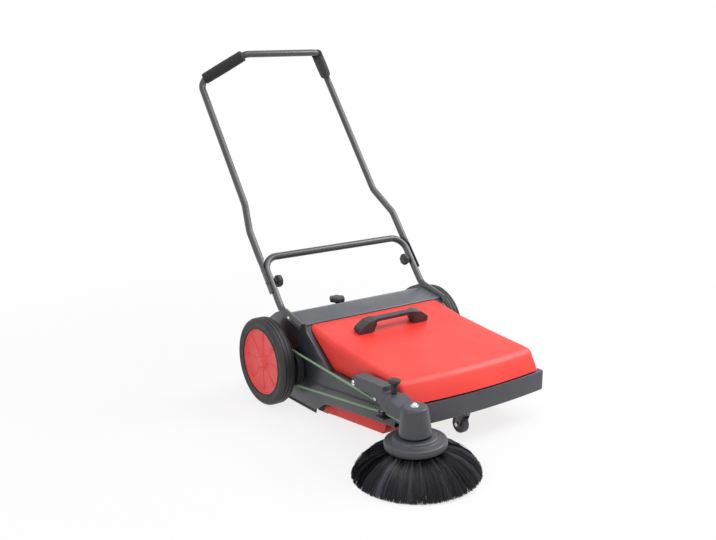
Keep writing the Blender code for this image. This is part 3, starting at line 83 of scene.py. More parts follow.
# %% Find the axle
right_wheel, left_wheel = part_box("right_tyre"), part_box("left_tyre")
AXLE = Vector(
    (
        (right_wheel[0].x + left_wheel[1].x) / 2,
        (right_wheel[0].y + right_wheel[1].y) / 2,
        0,
    )
)
WHEEL_CENTRE = 0.13912


def at(x, y, z=0.0):
    """A place counted from the drive axle, in the frame."""
    return Vector((x, y, z)) + AXLE


print("the axle is at", [round(value, 4) for value in AXLE])

# %% [markdown]
# The camera looks down on the right front corner, as a catalogue photo does. Its place and lens were
# worked out once, from the lines along and across the machine and from its round wheels, so they
# are plain numbers here.

# %% Camera
camera = bpy.data.objects.new("camera", bpy.data.cameras.new("camera"))
bpy.context.scene.collection.objects.link(camera)
camera.location = at(-1.8774, -2.6271, 1.1858)
camera.rotation_euler = (math.pi / 2 - 0.2434, 0, -0.6246)
camera.data.lens = 50.976
camera.data.sensor_width = 36
bpy.context.scene.camera = camera
print("camera at", [round(value, 3) for value in camera.location])

# %% [markdown]
# ## Finishes
# A finish is a small network of nodes. These helpers add the nodes that most finishes share: a noise for
# grain, a range for roughness, a mix of two tones, a bump, and a mask of the edges, where paint and plastic
# wear first and where the powder coat gets a painted highlight.


# %% Node helpers
def fill(tree, made, sockets):
    """Fills a node's sockets, each with a number, a colour, or another node's output."""
    for key, value in sockets.items():
        if isinstance(value, bpy.types.NodeSocket):
            tree.links.new(value, made.inputs[key])
        else:
            made.inputs[key].default_value = value


def node(tree, kind, sockets, **properties):
    """Adds a shader node with these properties and sockets."""
    made = tree.nodes.new("ShaderNode" + kind)
    for key, value in properties.items():
        setattr(made, key, value)
    fill(tree, made, sockets)
    return made


def start_material(name):
    """A new material, its node tree and its shader."""
    material = bpy.data.materials.new(name)
    material.use_nodes = True
    return material, material.node_tree, material.node_tree.nodes["Principled BSDF"]


def grain(tree, scale, stretch=(1, 1, 1), detail=3.0, kind="TexNoise"):
    """A pattern in metres of the object, so scale counts features in a metre."""
    place = node(tree, "TexCoord", {}).outputs["Object"]
    place = node(tree, "Mapping", {"Vector": place, "Scale": stretch}).outputs[0]
    sockets = {"Vector": place, "Scale": scale}
    if kind == "TexNoise":
        sockets["Detail"] = detail
    return node(tree, kind, sockets).outputs[0]


def spread(tree, pattern, low, high, start=0.3, end=0.7):
    """Maps a pattern onto a range of values."""
    sockets = {"Value": pattern, 1: start, 2: end, 3: low, 4: high}
    return node(tree, "MapRange", sockets).outputs[0]


def tones(tree, share, first, second):
    """A colour between two tones."""
    sockets = {0: share, 6: (*first, 1), 7: (*second, 1)}
    return node(tree, "Mix", sockets, data_type="RGBA").outputs[2]


def relief(tree, height, depth, strength=1.0, under=None):
    """A bump of this depth in metres."""
    sockets = {"Height": height, "Distance": depth, "Strength": strength}
    if under:
        sockets["Normal"] = under
    return node(tree, "Bump", sockets).outputs[0]


def edge_mask(tree, width):
    """Near 1 along sharp edges: there, a rounded normal differs from the true one."""
    rounded_normal = node(tree, "Bevel", {"Radius": width}, samples=4).outputs[0]
    true_normal = node(tree, "NewGeometry", {}).outputs["Normal"]
    sockets = {0: rounded_normal, 1: true_normal}
    same = node(tree, "VectorMath", sockets, operation="DOT_PRODUCT").outputs["Value"]
    return spread(tree, same, 1.0, 0.0, 0.78, 0.965)


print("node helpers ready")

# %% [markdown]
# Most of the machine is painted steel or moulded plastic. Both want the same things: two close tones that
# drift over the piece, a fine grain in the bump, a roughness that is never quite even, and edges that are a
# little paler than the rest. On most finishes the paler edges are wear; on the powder coat they are bluish, a
# painted highlight along its bends and flanges.


# %% A general finish
def finish(name, dark, light, rough, fine, depth, metal=0.0, edge_wear_and_highlight=None, drift=14, extra=None):
    """A material of two drifting tones, with grain, uneven roughness, and paler edges that are wear on most
    finishes and a painted highlight on the powder coat.
    """
    material, tree, shader = start_material(name)
    colour = tones(tree, spread(tree, grain(tree, drift), 0, 1), dark, light)
    roughness = spread(tree, grain(tree, drift * 2.5, detail=5), *rough)
    if edge_wear_and_highlight:
        # paler edges: wear on most finishes, a painted highlight on the powder coat
        wear_and_highlight = edge_mask(tree, 0.0016)
        patches = spread(tree, grain(tree, 90, detail=5), 0.25, 1.0)
        wear_and_highlight = node(tree, "Math", {0: wear_and_highlight, 1: patches}, operation="MULTIPLY").outputs[0]
        sockets = {0: wear_and_highlight, 6: colour, 7: (*edge_wear_and_highlight, 1)}
        colour = node(tree, "Mix", sockets, data_type="RGBA").outputs[2]
    normal = relief(tree, grain(tree, fine), depth)
    normal = relief(tree, grain(tree, fine / 12, detail=2), depth * 2, under=normal)
    looks = {"Base Color": colour, "Roughness": roughness, "Normal": normal, "Metallic": metal}
    fill(tree, shader, {**looks, **(extra or {})})
    return material


FINISHES = {
    # the powder coat's pale bluish edges are a painted highlight along its bends and flanges, not wear
    "painted_steel": finish(
        "powder_coat", (0.021, 0.023, 0.030), (0.029, 0.032, 0.040), (0.27, 0.38), 1300, 0.00003,
        edge_wear_and_highlight=(0.26, 0.33, 0.42), extra={"Coat Weight": 0.35, "Coat Roughness": 0.22},
    ),
    "tube_coat": finish(
        "tube_coat", (0.022, 0.023, 0.029), (0.028, 0.029, 0.036), (0.30, 0.36), 1300, 0.00001,
        extra={"Coat Weight": 0.6, "Coat Roughness": 0.28},
    ),
    "grey_plastic": finish(
        "grey_moulding", (0.074, 0.079, 0.094), (0.092, 0.098, 0.115), (0.36, 0.48), 2200, 0.00004,
        edge_wear_and_highlight=(0.18, 0.19, 0.215), extra={"Coat Weight": 0.3, "Coat Roughness": 0.25},
    ),
    "brush_moulding": finish(
        "brush_moulding", (0.046, 0.047, 0.059), (0.058, 0.059, 0.072), (0.34, 0.44), 2200, 0.00004,
        edge_wear_and_highlight=(0.13, 0.135, 0.155),
    ),
    "hopper_red": finish(
        "hopper_shell", (0.80, 0.036, 0.026), (0.86, 0.048, 0.034), (0.40, 0.48), 1400, 0.00002,
        edge_wear_and_highlight=(0.88, 0.12, 0.09), drift=6,
    ),
    "wheel_red": finish(
        "wheel_moulding", (0.78, 0.045, 0.045), (0.84, 0.060, 0.058), (0.34, 0.44), 1400, 0.00003,
        edge_wear_and_highlight=(0.86, 0.13, 0.11), drift=20,
    ),
    "black_plastic": finish(
        "black_moulding", (0.018, 0.018, 0.021), (0.026, 0.026, 0.030), (0.40, 0.52), 1800, 0.00004,
        edge_wear_and_highlight=(0.05, 0.05, 0.055), drift=40,
    ),
    "grip_moulding": finish(
        "grip_moulding", (0.032, 0.033, 0.039), (0.044, 0.045, 0.053), (0.34, 0.46), 1800, 0.00004,
        edge_wear_and_highlight=(0.12, 0.12, 0.135), drift=40,
    ),
    "rubber": finish(
        "strip_rubber", (0.018, 0.018, 0.019), (0.030, 0.029, 0.028), (0.62, 0.80), 900, 0.00006,
        drift=30,
    ),
    "tyre": finish(
        "tyre_rubber", (0.014, 0.014, 0.016), (0.022, 0.021, 0.024), (0.46, 0.62), 1100, 0.00008,
        drift=25,
    ),
    "nylon": finish(
        "gear_nylon", (0.66, 0.65, 0.58), (0.76, 0.75, 0.70), (0.36, 0.48), 1200, 0.00003, drift=35,
        extra={"Subsurface Weight": 0.2, "Subsurface Scale": 0.003},
    ),
    "bright_nut": finish(
        "chrome_nut", (0.80, 0.80, 0.82), (0.88, 0.88, 0.89), (0.08, 0.18), 1500, 0.00001, metal=1.0,
        drift=60,
    ),
}
print("finishes:", ", ".join(sorted(FINISHES)))

# %% [markdown]
# Four finishes need a pattern of their own. Zinc-plated steel has long fine scratches from turning
# and rolling, bearing bronze is a sponge of fine pores, foam rubber has closed cells, and the
# belt's round section is rough on its skin with a slightly see-through core.


# %% Steel, bronze, foam and belt
def patterned(name, first, second, share, rough, normal_of, metal=0.0, extra=None):
    """A material whose tones, roughness and bump come from functions of its node tree."""
    material, tree, shader = start_material(name)
    pattern = share(tree)
    looks = {"Base Color": tones(tree, pattern, first, second), "Metallic": metal}
    looks["Roughness"] = spread(tree, pattern, *rough, 0, 1)
    looks["Normal"] = normal_of(tree)
    fill(tree, shader, {**looks, **(extra or {})})
    return material


def scratches(tree):
    return spread(tree, grain(tree, 240, (0.08, 1, 1), 6), 0, 1)


def pores(tree, scale):
    return spread(tree, grain(tree, scale, kind="TexVoronoi"), 0, 1, 0.0, 0.5)


FINISHES["steel"] = patterned(
    "zinc_plate", (0.50, 0.50, 0.52), (0.68, 0.68, 0.67), scratches, (0.22, 0.40),
    lambda tree: relief(tree, scratches(tree), 0.00001), metal=1.0,
)
FINISHES["bronze"] = patterned(
    "bearing_bronze", (0.30, 0.19, 0.10), (0.50, 0.34, 0.19), lambda tree: pores(tree, 2600),
    (0.55, 0.32), lambda tree: relief(tree, pores(tree, 2600), 0.00004), metal=1.0,
)
FINISHES["foam"] = patterned(
    "grip_foam", (0.006, 0.006, 0.007), (0.016, 0.016, 0.018), lambda tree: pores(tree, 900),
    (0.95, 0.78), lambda tree: relief(tree, pores(tree, 900), 0.0004, 0.8),
    extra={"Sheen Weight": 0.1, "Sheen Roughness": 0.5},
)
FINISHES["belt"] = patterned(
    "green_cord_belt", (0.15, 0.25, 0.15), (0.26, 0.40, 0.27),
    lambda tree: spread(tree, grain(tree, 320, detail=5), 0, 1), (0.42, 0.58),
    lambda tree: relief(tree, grain(tree, 900), 0.00012),
    extra={"Subsurface Weight": 0.15, "Subsurface Scale": 0.002},
)
print("special finishes: steel, bronze, foam, belt")

# %% [markdown]
# Bristles are thin plastic rods. Each rod carries one number, its tone, as an attribute of its mesh, so that
# neighbours differ as real fibres do. The tone runs from near black to a pale bluish grey, and the pale
# strands are partly a painted sheen that stands for the streaks of light on the fibres; a low roughness on the
# dark strands gives the rest of the streaks of light.


# %% Bristle
FINISHES["bristle"], tree, shader = start_material("black_bristle")
tone_and_sheen = node(tree, "Attribute", {}, attribute_name="tone_and_sheen").outputs["Fac"]
looks = {
    # the pale bluish second tone is partly painted sheen, standing for streaks of light on the fibres
    "Base Color": tones(tree, tone_and_sheen, (0.003, 0.003, 0.004), (0.110, 0.105, 0.140)),
    "Roughness": spread(tree, tone_and_sheen, 0.34, 0.6, 0, 1),
    "Normal": relief(tree, grain(tree, 1500), 0.00004),
    "Specular IOR Level": 0.25,
}
fill(tree, shader, looks)
print("bristle finish ready")

# %% [markdown]
# Every plain solid of the frame now gets the finish of its slot. Many stay in view as they are:
# gears, axles, bearings, skirts and the parts inside.

# %% Dress the frame
SLOT_OF = {part["node"]: part["material_slot"] for part in frame["record"]["subparts"]}
for name, solid in frame["nodes"].items():
    for place in solid.material_slots:
        place.material = FINISHES[SLOT_OF[name]]
print("dressed", len(SLOT_OF), "solids")

# %% [markdown]
# ## How the new pieces are made
# A piece starts as a line of points, or as a block, and is shaped in edit mode, as by hand. A
# line is drawn by extruding its last vertex; a closed line is filled and pulled out into a slab; a
# line beside an axis is spun into a turned piece; and a line may become a curve with a round
# section, which is a tube.


# %% Modelling helpers
def begin():
    """Leaves edit mode and deselects everything."""
    if bpy.context.object and bpy.context.object.mode == "EDIT":
        bpy.ops.object.mode_set(mode="OBJECT")
    bpy.ops.object.select_all(action="DESELECT")


def everything():
    """Selects the whole of the mesh in hand."""
    bpy.ops.mesh.select_all(action="SELECT")


def edit():
    """Opens the piece in hand in edit mode, all of it selected."""
    bpy.ops.object.mode_set(mode="EDIT")
    everything()


def weld(distance=1e-6):
    """Merges the points that lie within a distance of each other."""
    bpy.ops.mesh.remove_doubles(threshold=distance)


def take_up(name, mesh):
    """Makes an object of a mesh and opens it in edit mode."""
    begin()
    made = bpy.data.objects.new(name, mesh)
    bpy.context.scene.collection.objects.link(made)
    made.select_set(True)
    bpy.context.view_layer.objects.active = made
    bpy.ops.object.mode_set(mode="EDIT")


def draw(points, closed=False):
    """Starts a mesh as a line of edges, each extruded from the last vertex."""
    begin()
    bpy.ops.mesh.primitive_plane_add(size=0.002, location=points[0])
    bpy.ops.object.mode_set(mode="EDIT")
    bpy.ops.mesh.select_mode(type="VERT")
    everything()
    bpy.ops.mesh.merge(type="CENTER")
    for last, new in zip(points, points[1:]):
        step = {"value": Vector(new) - Vector(last)}
        bpy.ops.mesh.extrude_region_move(TRANSFORM_OT_translate=step)
    if closed:
        step = {"value": Vector(points[0]) - Vector(points[-1])}
        bpy.ops.mesh.extrude_region_move(TRANSFORM_OT_translate=step)
        everything()
        weld()
        everything()


def pick(kind, test):
    """Selects the verts, edges or faces that pass a test of their middle and themselves."""
    bpy.ops.mesh.select_mode(type={"verts": "VERT", "edges": "EDGE", "faces": "FACE"}[kind])
    bpy.ops.mesh.select_all(action="DESELECT")
    edited = bpy.context.object
    shape = bmesh.from_edit_mesh(edited.data)
    for item in getattr(shape, kind):
        corners = [item.co] if kind == "verts" else [vert.co for vert in item.verts]
        middle = sum(corners, Vector()) / len(corners) + edited.location - AXLE
        item.select_set(bool(test(middle, item)))
    shape.select_flush_mode()
    bmesh.update_edit_mesh(edited.data)


def pull(*step):
    """Extrudes what is selected by this step."""
    bpy.ops.mesh.extrude_region_move(TRANSFORM_OT_translate={"value": Vector(step)})


def outwards():
    """Turns every face of a closed shape outwards."""
    everything()
    bpy.ops.mesh.normals_make_consistent(inside=False)


def modify(kind, **settings):
    """Adds a modifier to the piece in hand and applies it."""
    bpy.ops.object.mode_set(mode="OBJECT")
    made = bpy.context.object
    step = made.modifiers.new(kind.lower(), kind)
    for key, value in settings.items():
        setattr(step, key, value)
    bpy.ops.object.modifier_apply(modifier=step.name)


def soften(width, segments=3, angle=32):
    """Rounds every edge sharper than an angle."""
    modify(
        "BEVEL",
        width=width,
        segments=segments,
        limit_method="ANGLE",
        angle_limit=math.radians(angle),
    )


def settle():
    """Puts the piece's place into its mesh, so that its object sits at the origin."""
    if bpy.context.object.mode == "EDIT":
        bpy.ops.object.mode_set(mode="OBJECT")
    bpy.ops.object.transform_apply(location=True, rotation=True, scale=True)
    return bpy.context.object


def together(*pieces):
    """Joins settled pieces into the first."""
    begin()
    for piece in pieces:
        piece.select_set(True)
    bpy.context.view_layer.objects.active = pieces[0]
    bpy.ops.object.join()
    return settle()


def done(name, slot, body, *nodes, smooth=32, look=None):
    """Names the piece in hand, gives it its slot's finish or another look, and a body to ride on."""
    made = settle()
    made.name = made.data.name = name
    bpy.ops.object.shade_smooth_by_angle(angle=math.radians(smooth))
    made.data.materials.clear()
    made.data.materials.append(FINISHES[slot])
    if isinstance(body, str):
        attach(made, body)
    else:
        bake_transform(made)
    if nodes:
        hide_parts(*nodes)
    if look:
        made.material_slots[0].material = FINISHES[look]
    made.data.calc_loop_triangles()
    print(name, len(made.data.loop_triangles), "triangles")
    return made


# %% [markdown]
# A few helpers make most of the shapes: a rounder of corners, because no tube or sheet is bent
# sharp, and then a slab, a bent sheet, a turned piece, a tube, a block, and a copy of a solid.


# %% Shape helpers
def rounded(corners, radius, closed=False, step=7):
    """The points of a line whose corners are bent to a radius, one point every few degrees."""
    corners = [Vector(corner) for corner in corners]
    count = len(corners)
    points = [] if closed else [corners[0]]
    for k in range(count if closed else count - 2):
        before, corner, after = (corners[(k + j) % count] for j in range(3))
        back, ahead = before - corner, after - corner
        turn = math.pi - back.angle(ahead)
        wish = radius[k] if isinstance(radius, (list, tuple)) else radius
        room = min(back.length, ahead.length) * (0.49 if closed else 0.9)
        reach = min(wish * math.tan(turn / 2), room)
        bend = reach / math.tan(turn / 2)
        back, ahead = back.normalized(), ahead.normalized()
        middle = corner + (back + ahead).normalized() * bend / math.cos(turn / 2)
        start = corner + back * reach - middle
        across = (corner + ahead * reach - middle) - start * math.cos(turn)
        across = across.normalized() * bend
        steps = max(2, math.ceil(math.degrees(turn) / step))
        for j in range(steps + 1):
            angle = turn * j / steps
            points.append(middle + start * math.cos(angle) + across * math.sin(angle))
    return points if closed else points + [corners[-1]]


def bent(outline, radius, **settings):
    """The same for a flat line of pairs."""
    points = rounded([(u, v, 0) for u, v in outline], radius, **settings)
    return [(point.x, point.y) for point in points]


def slab(outline, low, high, axis):
    """Fills an outline and pulls it out along an axis, X, Y or Z, between two places."""
    put = {
        "X": lambda u, v: at(low, u, v),
        "Y": lambda u, v: at(u, low, v),
        "Z": lambda u, v: at(u, v, low),
    }[axis]
    draw([put(*point) for point in outline], closed=True)
    bpy.ops.mesh.edge_face_add()
    pull(*(high - low if name == axis else 0 for name in "XYZ"))
    outwards()


def sheet(path, low, high, thickness, inside):
    """Pulls a bent line of (y, z) points across the machine and gives it a thickness."""
    draw([at(low, *point) for point in path])
    everything()
    pull(high - low, 0, 0)
    everything()
    shape = bmesh.from_edit_mesh(bpy.context.object.data)
    if sum(face.normal.dot(Vector((0, *inside))) * face.calc_area() for face in shape.faces) > 0:
        bpy.ops.mesh.flip_normals()
    modify("SOLIDIFY", thickness=thickness, offset=-1, use_even_offset=True)


def turned(profile, place, steps=64, ring=False):
    """Spins a line of (radius, height) points about the local Z axis of a place."""
    points = [place @ Vector((radius, 0, height)) for radius, height in profile]
    draw(points, closed=ring)
    everything()
    axis = place.to_3x3() @ Vector((0, 0, 1))
    bpy.ops.mesh.spin(steps=steps, angle=2 * math.pi, center=place.translation, axis=axis)
    everything()
    weld(1e-5)
    outwards()


def tube(points, radius, closed=False, sides=8):
    """Gives a drawn line a round section, by way of a curve."""
    draw(points, closed)
    bpy.ops.object.mode_set(mode="OBJECT")
    bpy.ops.object.convert(target="CURVE")
    curve = bpy.context.object.data
    curve.bevel_depth = radius
    curve.bevel_resolution = sides
    curve.use_fill_caps = not closed
    bpy.ops.object.convert(target="MESH")
    edit()
    weld()
    outwards()


def block(low, high):
    """A box between two corners."""
    begin()
    low, high = at(*low), at(*high)
    bpy.ops.mesh.primitive_cube_add(size=1, location=(low + high) / 2)
    edit()
    size = high - low
    bpy.ops.transform.resize(value=size)


def copy_of(solid):
    """Starts a piece as a merged copy of a solid of the frame."""
    take_up("copy", frame["nodes"][solid].data.copy())
    everything()
    bpy.ops.mesh.customdata_custom_splitnormals_clear()
    weld()
    bpy.ops.mesh.dissolve_limited(angle_limit=math.radians(0.5))


def outward(side, y, z):
    """A place on a cross axis whose local Z points away from the middle, side +1 or -1."""
    return Matrix.Translation(at(0, y, z)) @ Matrix.Rotation(side * math.pi / 2, 4, "Y")


SIDES = ((-1, "right"), (1, "left"))
print("modelling helpers ready")

# %% [markdown]
# ## Wheels
# The tyre is a turned ring of black rubber. Its side has a bead next to the rim and a fine raised
# line near the shoulder, and its tread has three plain grooves. Half of its section is drawn,
# from the bead to the middle of the tread, and mirrored for the other half.

# %% Tyres
TYRE_OUTER, TYRE_INNER = 0.3645, 0.3125
HALF_TYRE = [
    (0.1048, 0.0032), (0.1054, 0.0014), (0.1068, 0.0006), (0.1086, 0.0008), (0.1098, 0.0024),
    (0.1120, 0.0028), (0.1190, 0.0016), (0.1250, 0.0008), (0.1256, 0.0000), (0.1266, 0.0000),
    (0.1272, 0.0008), (0.1310, 0.0018), (0.1345, 0.0038), (0.1370, 0.0066), (0.1384, 0.0100),
    (0.1388, 0.0126), (0.1370, 0.0132), (0.1370, 0.0150), (0.1389, 0.0156), (0.1390, 0.0244),
    (0.1372, 0.0250), (0.1372, 0.0260),
]
for side, name in SIDES:
    near = [(radius, TYRE_OUTER - depth) for radius, depth in HALF_TYRE]
    far = [(radius, TYRE_INNER + depth) for radius, depth in HALF_TYRE[::-1]]
    turned(near + far[1:], outward(side, 0, WHEEL_CENTRE), 112, ring=True)
    done(f"{name}_tyre_tread", "tyre", f"{name}_wheel", f"{name}_tyre")

# %% [markdown]
# The rim is moulded in red plastic: a lip against the tyre, a dished disc, and a hub that a cap
# closes. Shallow ribs stiffen the disc; they show only as soft streaks. One rib is made from a
# block, and a spin that duplicates instead of joining sets eight of them round the hub.

# %% Rims
RIM = [
    (0.1045, 0.3600), (0.1045, 0.3165), (0.1005, 0.3165), (0.1005, 0.3492), (0.0220, 0.3492),
    (0.0220, 0.3285), (0.0160, 0.3285), (0.0160, 0.2785), (0.0083, 0.2785), (0.0083, 0.3510),
    (0.0183, 0.3510), (0.0183, 0.3590), (0.0225, 0.3590), (0.0290, 0.3528), (0.0900, 0.3522),
    (0.0975, 0.3550), (0.1003, 0.3600),
]


def disc_ribs(side, count):
    """Shallow ribs on the rim's disc, from the hub to the lip."""
    middle = side * 0.3526
    block((middle - 0.0011, -0.0034, WHEEL_CENTRE + 0.027), (middle + 0.0011, 0.0034, WHEEL_CENTRE + 0.095))
    pick("faces", lambda middle, face: face.normal.z > 0.9)
    bpy.ops.transform.resize(value=(1, 1.9, 1))
    soften(0.0009, 2)
    edit()
    bpy.ops.mesh.spin(
        steps=count, dupli=True, angle=2 * math.pi, center=at(0, 0, WHEEL_CENTRE), axis=(1, 0, 0)
    )
    everything()
    weld(1e-5)
    outwards()
    return settle()


for side, name in SIDES:
    turned(RIM, outward(side, 0, WHEEL_CENTRE), 96, ring=True)
    soften(0.0012, 3, 28)
    rim = settle()
    together(rim, disc_ribs(side, 8))
    done(f"{name}_rim_ribbed", "wheel_red", f"{name}_wheel", f"{name}_rim")

# %% [markdown]
# The cap snaps over the end of the axle. It is a shallow dome with a ring pressed into its face.

# %% Wheel caps
CAP = [
    (0.0, 0.3618), (0.0060, 0.3616), (0.0085, 0.3608), (0.0100, 0.3608), (0.0115, 0.3612),
    (0.0145, 0.3604), (0.0168, 0.3596), (0.0180, 0.3578), (0.0180, 0.3513), (0.0120, 0.3513),
    (0.0120, 0.3570), (0.0, 0.3570),
]
for side, name in SIDES:
    turned(CAP, outward(side, 0, WHEEL_CENTRE), 48)
    done(f"{name}_hub_cap", "wheel_red", f"{name}_wheel", f"{name}_wheel_cap")

# %% [markdown]
# ## Chassis
# Each side plate is 3 mm sheet, cut to shape, with its upper edge folded inwards as a flange
# that the hopper's lid rests on. The plate is a slab with rounded corners and the flange a bent
# line pulled across; the two overlap at the fold. The right plate has an ear for the brush arm.

# %% Side plates
PLATE_FRONT, SHEET = -0.5777, 0.003
PLATE_BEHIND = [
    (-0.368, 0.165), (-0.253, 0.165), (-0.135, 0.257), (-0.127, 0.279), (-0.020, 0.3035),
    (0.045, 0.276), (0.092, 0.245), (0.104, 0.160), (0.085, 0.060), (0.035, 0.018), (-0.180, 0.018),
    (-0.217, 0.042), (-0.234, 0.053), (-0.339, 0.068),
    (PLATE_FRONT, 0.0945),
]
EAR = [(-0.424, 0.165), (-0.416, 0.188), (-0.376, 0.188)]
FLANGE = [(-0.562, 0.1605), (-0.253, 0.165), (-0.1215, 0.2675)]
for side, name in SIDES:
    outline = [(PLATE_FRONT, 0.150), (-0.545, 0.1615)] + (EAR if side < 0 else []) + PLATE_BEHIND
    slab(bent(outline, 0.012, closed=True, step=15), *sorted((side * 0.2725, side * 0.2755)), "X")
    soften(0.0006, 2)
    plate = settle()
    sheet(bent(FLANGE, 0.008), *sorted((side * 0.2475, side * 0.2745)), SHEET, (0, -1))
    soften(0.0006, 2)
    together(plate, settle())
    done(f"{name}_flanged_plate", "painted_steel", "chassis", f"{name}_side_plate")

# %% [markdown]
# The brush housing is one sheet, bent from its front lip over the roller brush and down the
# back, with a straight strip across the back that screws to both side plates.

# %% Brush housing
HOUSING = [
    (-0.1175, 0.260), (-0.1180, 0.2745), (-0.028, 0.2905), (0.060, 0.262), (0.088, 0.170),
    (0.088, 0.050),
]
sheet(bent(HOUSING, (0.004, 0.030, 0.040, 0.060)), -0.2718, 0.2718, SHEET, (0, -1))
soften(0.0008, 2)
cover = settle()
block((-0.2722, 0.0852, 0.060), (0.2722, 0.0866, 0.180))
soften(0.0004, 1)
together(cover, settle())
done("bent_housing", "grey_plastic", "chassis", "brush_housing")

# %% [markdown]
# The front bumper is a deep moulding, bowed forward in the middle, closed at its ends and
# hollow behind. Its outline is pulled up into a slab, its edges are rounded, and then the rear
# face is inset and pushed forward to hollow it. At its right end the lower edge is raised, so that
# the side brush can lift with its arm. A small lug at that end is for the height screw.


# %% Front bumper
def bumper_line(x):
    """The front of the bumper, bowed forward in the middle."""
    return -0.600 - 0.018 * (1 - (x / BUMPER_END) ** 2)


BUMPER_END = 0.276
across = [BUMPER_END * (k / 14 - 1) for k in range(29)]
outline = [(x, bumper_line(x)) for x in across]
outline += [(x, bumper_line(x) + 0.022) for x in across[::-1]]
slab(outline, 0.091, 0.154, "Z")
pick("verts", lambda middle, vert: middle.z < 0.1 and middle.x < -0.210)
bpy.ops.transform.translate(value=(0, 0, 0.017))
pick(
    "edges",
    lambda middle, edge: edge.calc_face_angle(0) > 0.6
    and middle.y < bumper_line(middle.x) + 0.016
    and abs(middle.x) <= BUMPER_END + 0.0001,
)
bpy.ops.mesh.bevel(offset=0.005, segments=4, affect="EDGES")
pick("faces", lambda middle, face: face.normal.y > 0.9)
bpy.ops.mesh.inset(thickness=0.003)
pull(0, -0.018, 0)
bumper = settle()
block((-0.300, -0.606, 0.1490), (-0.266, -0.594, 0.1535))
soften(0.0015, 2)
together(bumper, settle())
done("bowed_bumper", "grey_plastic", "chassis", "front_bumper", look="brush_moulding")

# %% [markdown]
# ## Handles
# Both handles are round steel tube with a powder coat, bent on a former, so every corner is an
# arc. The lower one is an inverted U whose feet lie along the tops of the side plates. The upper
# one folds on two bolts beside it: its ends are pressed flat there, which a smaller scale across
# gives them, and further up it narrows and ends in a bar with slanted grips.

# %% Handle routes
FOOT = Vector((0, -0.006, 0.298))
LEG = Vector((0, math.cos(math.radians(51.3)), math.sin(math.radians(51.3))))


def on_leg(along, x):
    """A place on the leg line, this far up from its foot."""
    return at(x, 0) + FOOT + LEG * along


def both_sides(half):
    """A route over one side and back down the other."""
    mirrored = [Vector((2 * AXLE.x - point.x, point.y, point.z)) for point in half[::-1]]
    return half + mirrored


# radius of the tube; how far from the middle the lower legs, the upper legs and their ends stand
TUBE, LOWER_X, UPPER_X, PRESSED_X = 0.0115, 0.2825, 0.2905, 0.2975
lower = [at(LOWER_X, -0.127, 0.2703), on_leg(0, LOWER_X), on_leg(0.183, LOWER_X), on_leg(0.183, 0)]
tube(both_sides(rounded(lower, (0.045, 0.050))[:-1]), TUBE)
done("lower_tube", "painted_steel", "chassis", "lower_handle", smooth=40, look="tube_coat")

CORNER, BAR = at(0.260, 0.539, 0.975), at(0.1435, 0.430, 1.068)
upper = [
    on_leg(0.060, UPPER_X),
    on_leg(0.283, UPPER_X),
    at(0.262, 0.248, 0.593),
    CORNER,
    BAR,
    at(0, 0.430, 1.068),
]
pressed = [on_leg(along, UPPER_X) for along in (0.060, 0.075, 0.150, 0.180)]
tube(both_sides(pressed + rounded(upper, (0.060, 0.060, 0.035, 0.032))[1:-1]), TUBE)
for side, name in SIDES:

    def in_end(middle, vert):
        """The part of the leg below the crossbar."""
        return middle.x * side > 0.2 and (middle - FOOT).dot(LEG) < 0.155

    pick("verts", in_end)
    bpy.ops.transform.resize(value=(0.18, 1, 1), center_override=at(side * PRESSED_X, 0))
done("upper_tube", "painted_steel", "push_handle", "upper_handle", smooth=40, look="tube_coat")

# %% [markdown]
# Each grip is a sleeve of foam rubber, pushed onto the slanted run of the tube. It swells a little in the
# middle, and its ends are cut square with a soft edge.


# %% Foam grips
def foam_section(half, bore=0.0117, outer=0.0188):
    """Half the section of the sleeve, round its end and along its swelling side."""
    points = [(bore, half), (outer - 0.0022, half), (outer - 0.0008, half - 0.0008)]
    for k in range(13):
        share = k / 12
        height = (half - 0.0025) * (1 - 2 * share)
        swell = 0.0006 * math.sin(math.pi * share) + 0.00015 * math.cos(9 * math.pi * share)
        points.append((outer + swell, height))
    return points + [(outer - 0.0008, 0.0008 - half), (outer - 0.0022, -half), (bore, -half)]


along = (BAR - CORNER).normalized()
start, end = CORNER + along * 0.0195, BAR - along * 0.0095
for side, name in SIDES:
    mirror = Matrix.Translation((AXLE.x, 0, 0)) @ Matrix.Scale(side, 4, (1, 0, 0))
    mirror = mirror @ Matrix.Translation((-AXLE.x, 0, 0))
    low, high = mirror @ start, mirror @ end
    place = (high - low).to_track_quat("Z", "Y").to_matrix().to_4x4()
    place.translation = (low + high) / 2
    turned(foam_section((high - low).length / 2), place, 48, ring=True)
    grip = done(f"{name}_foam_sleeve", "foam", "push_handle", f"{name}_foam_grip")

# %% [markdown]
# Round-headed bolts hold the tubes: the clamp bolts that the handle folds on, through both
# tubes, and a bolt through each foot and its side plate. The clamp bolts are coated like the tube.

# %% Bolts
DOME = [(0.0, 1.0), (0.35, 0.94), (0.68, 0.76), (0.90, 0.46), (1.0, 0.16), (1.0, 0.0), (0.0, 0.0)]
clamp, foot_bolt = FOOT + LEG * 0.098, FOOT + Vector((0, -0.056, -0.01275))
# name, place, face under the head, radius of the head, end of the shank, look
BOLTS = (
    ("clamp", clamp, 0.2982, 0.0085, 0.2500, "tube_coat"),
    ("leg", foot_bolt, 0.2937, 0.0065, 0.274, None),
)
for side, name in SIDES:
    for kind, spot, face, radius, end, coat in BOLTS:
        head = [(radius * r, face + 0.0036 * h) for r, h in DOME[:-1]]
        shank = [(0.004, face), (0.004, end), (0.0, end)]
        turned(head + shank, outward(side, spot.y, spot.z), 32)
        done(f"{name}_{kind}_bolt_domed", "steel", "chassis", f"{name}_{kind}_bolt", look=coat)

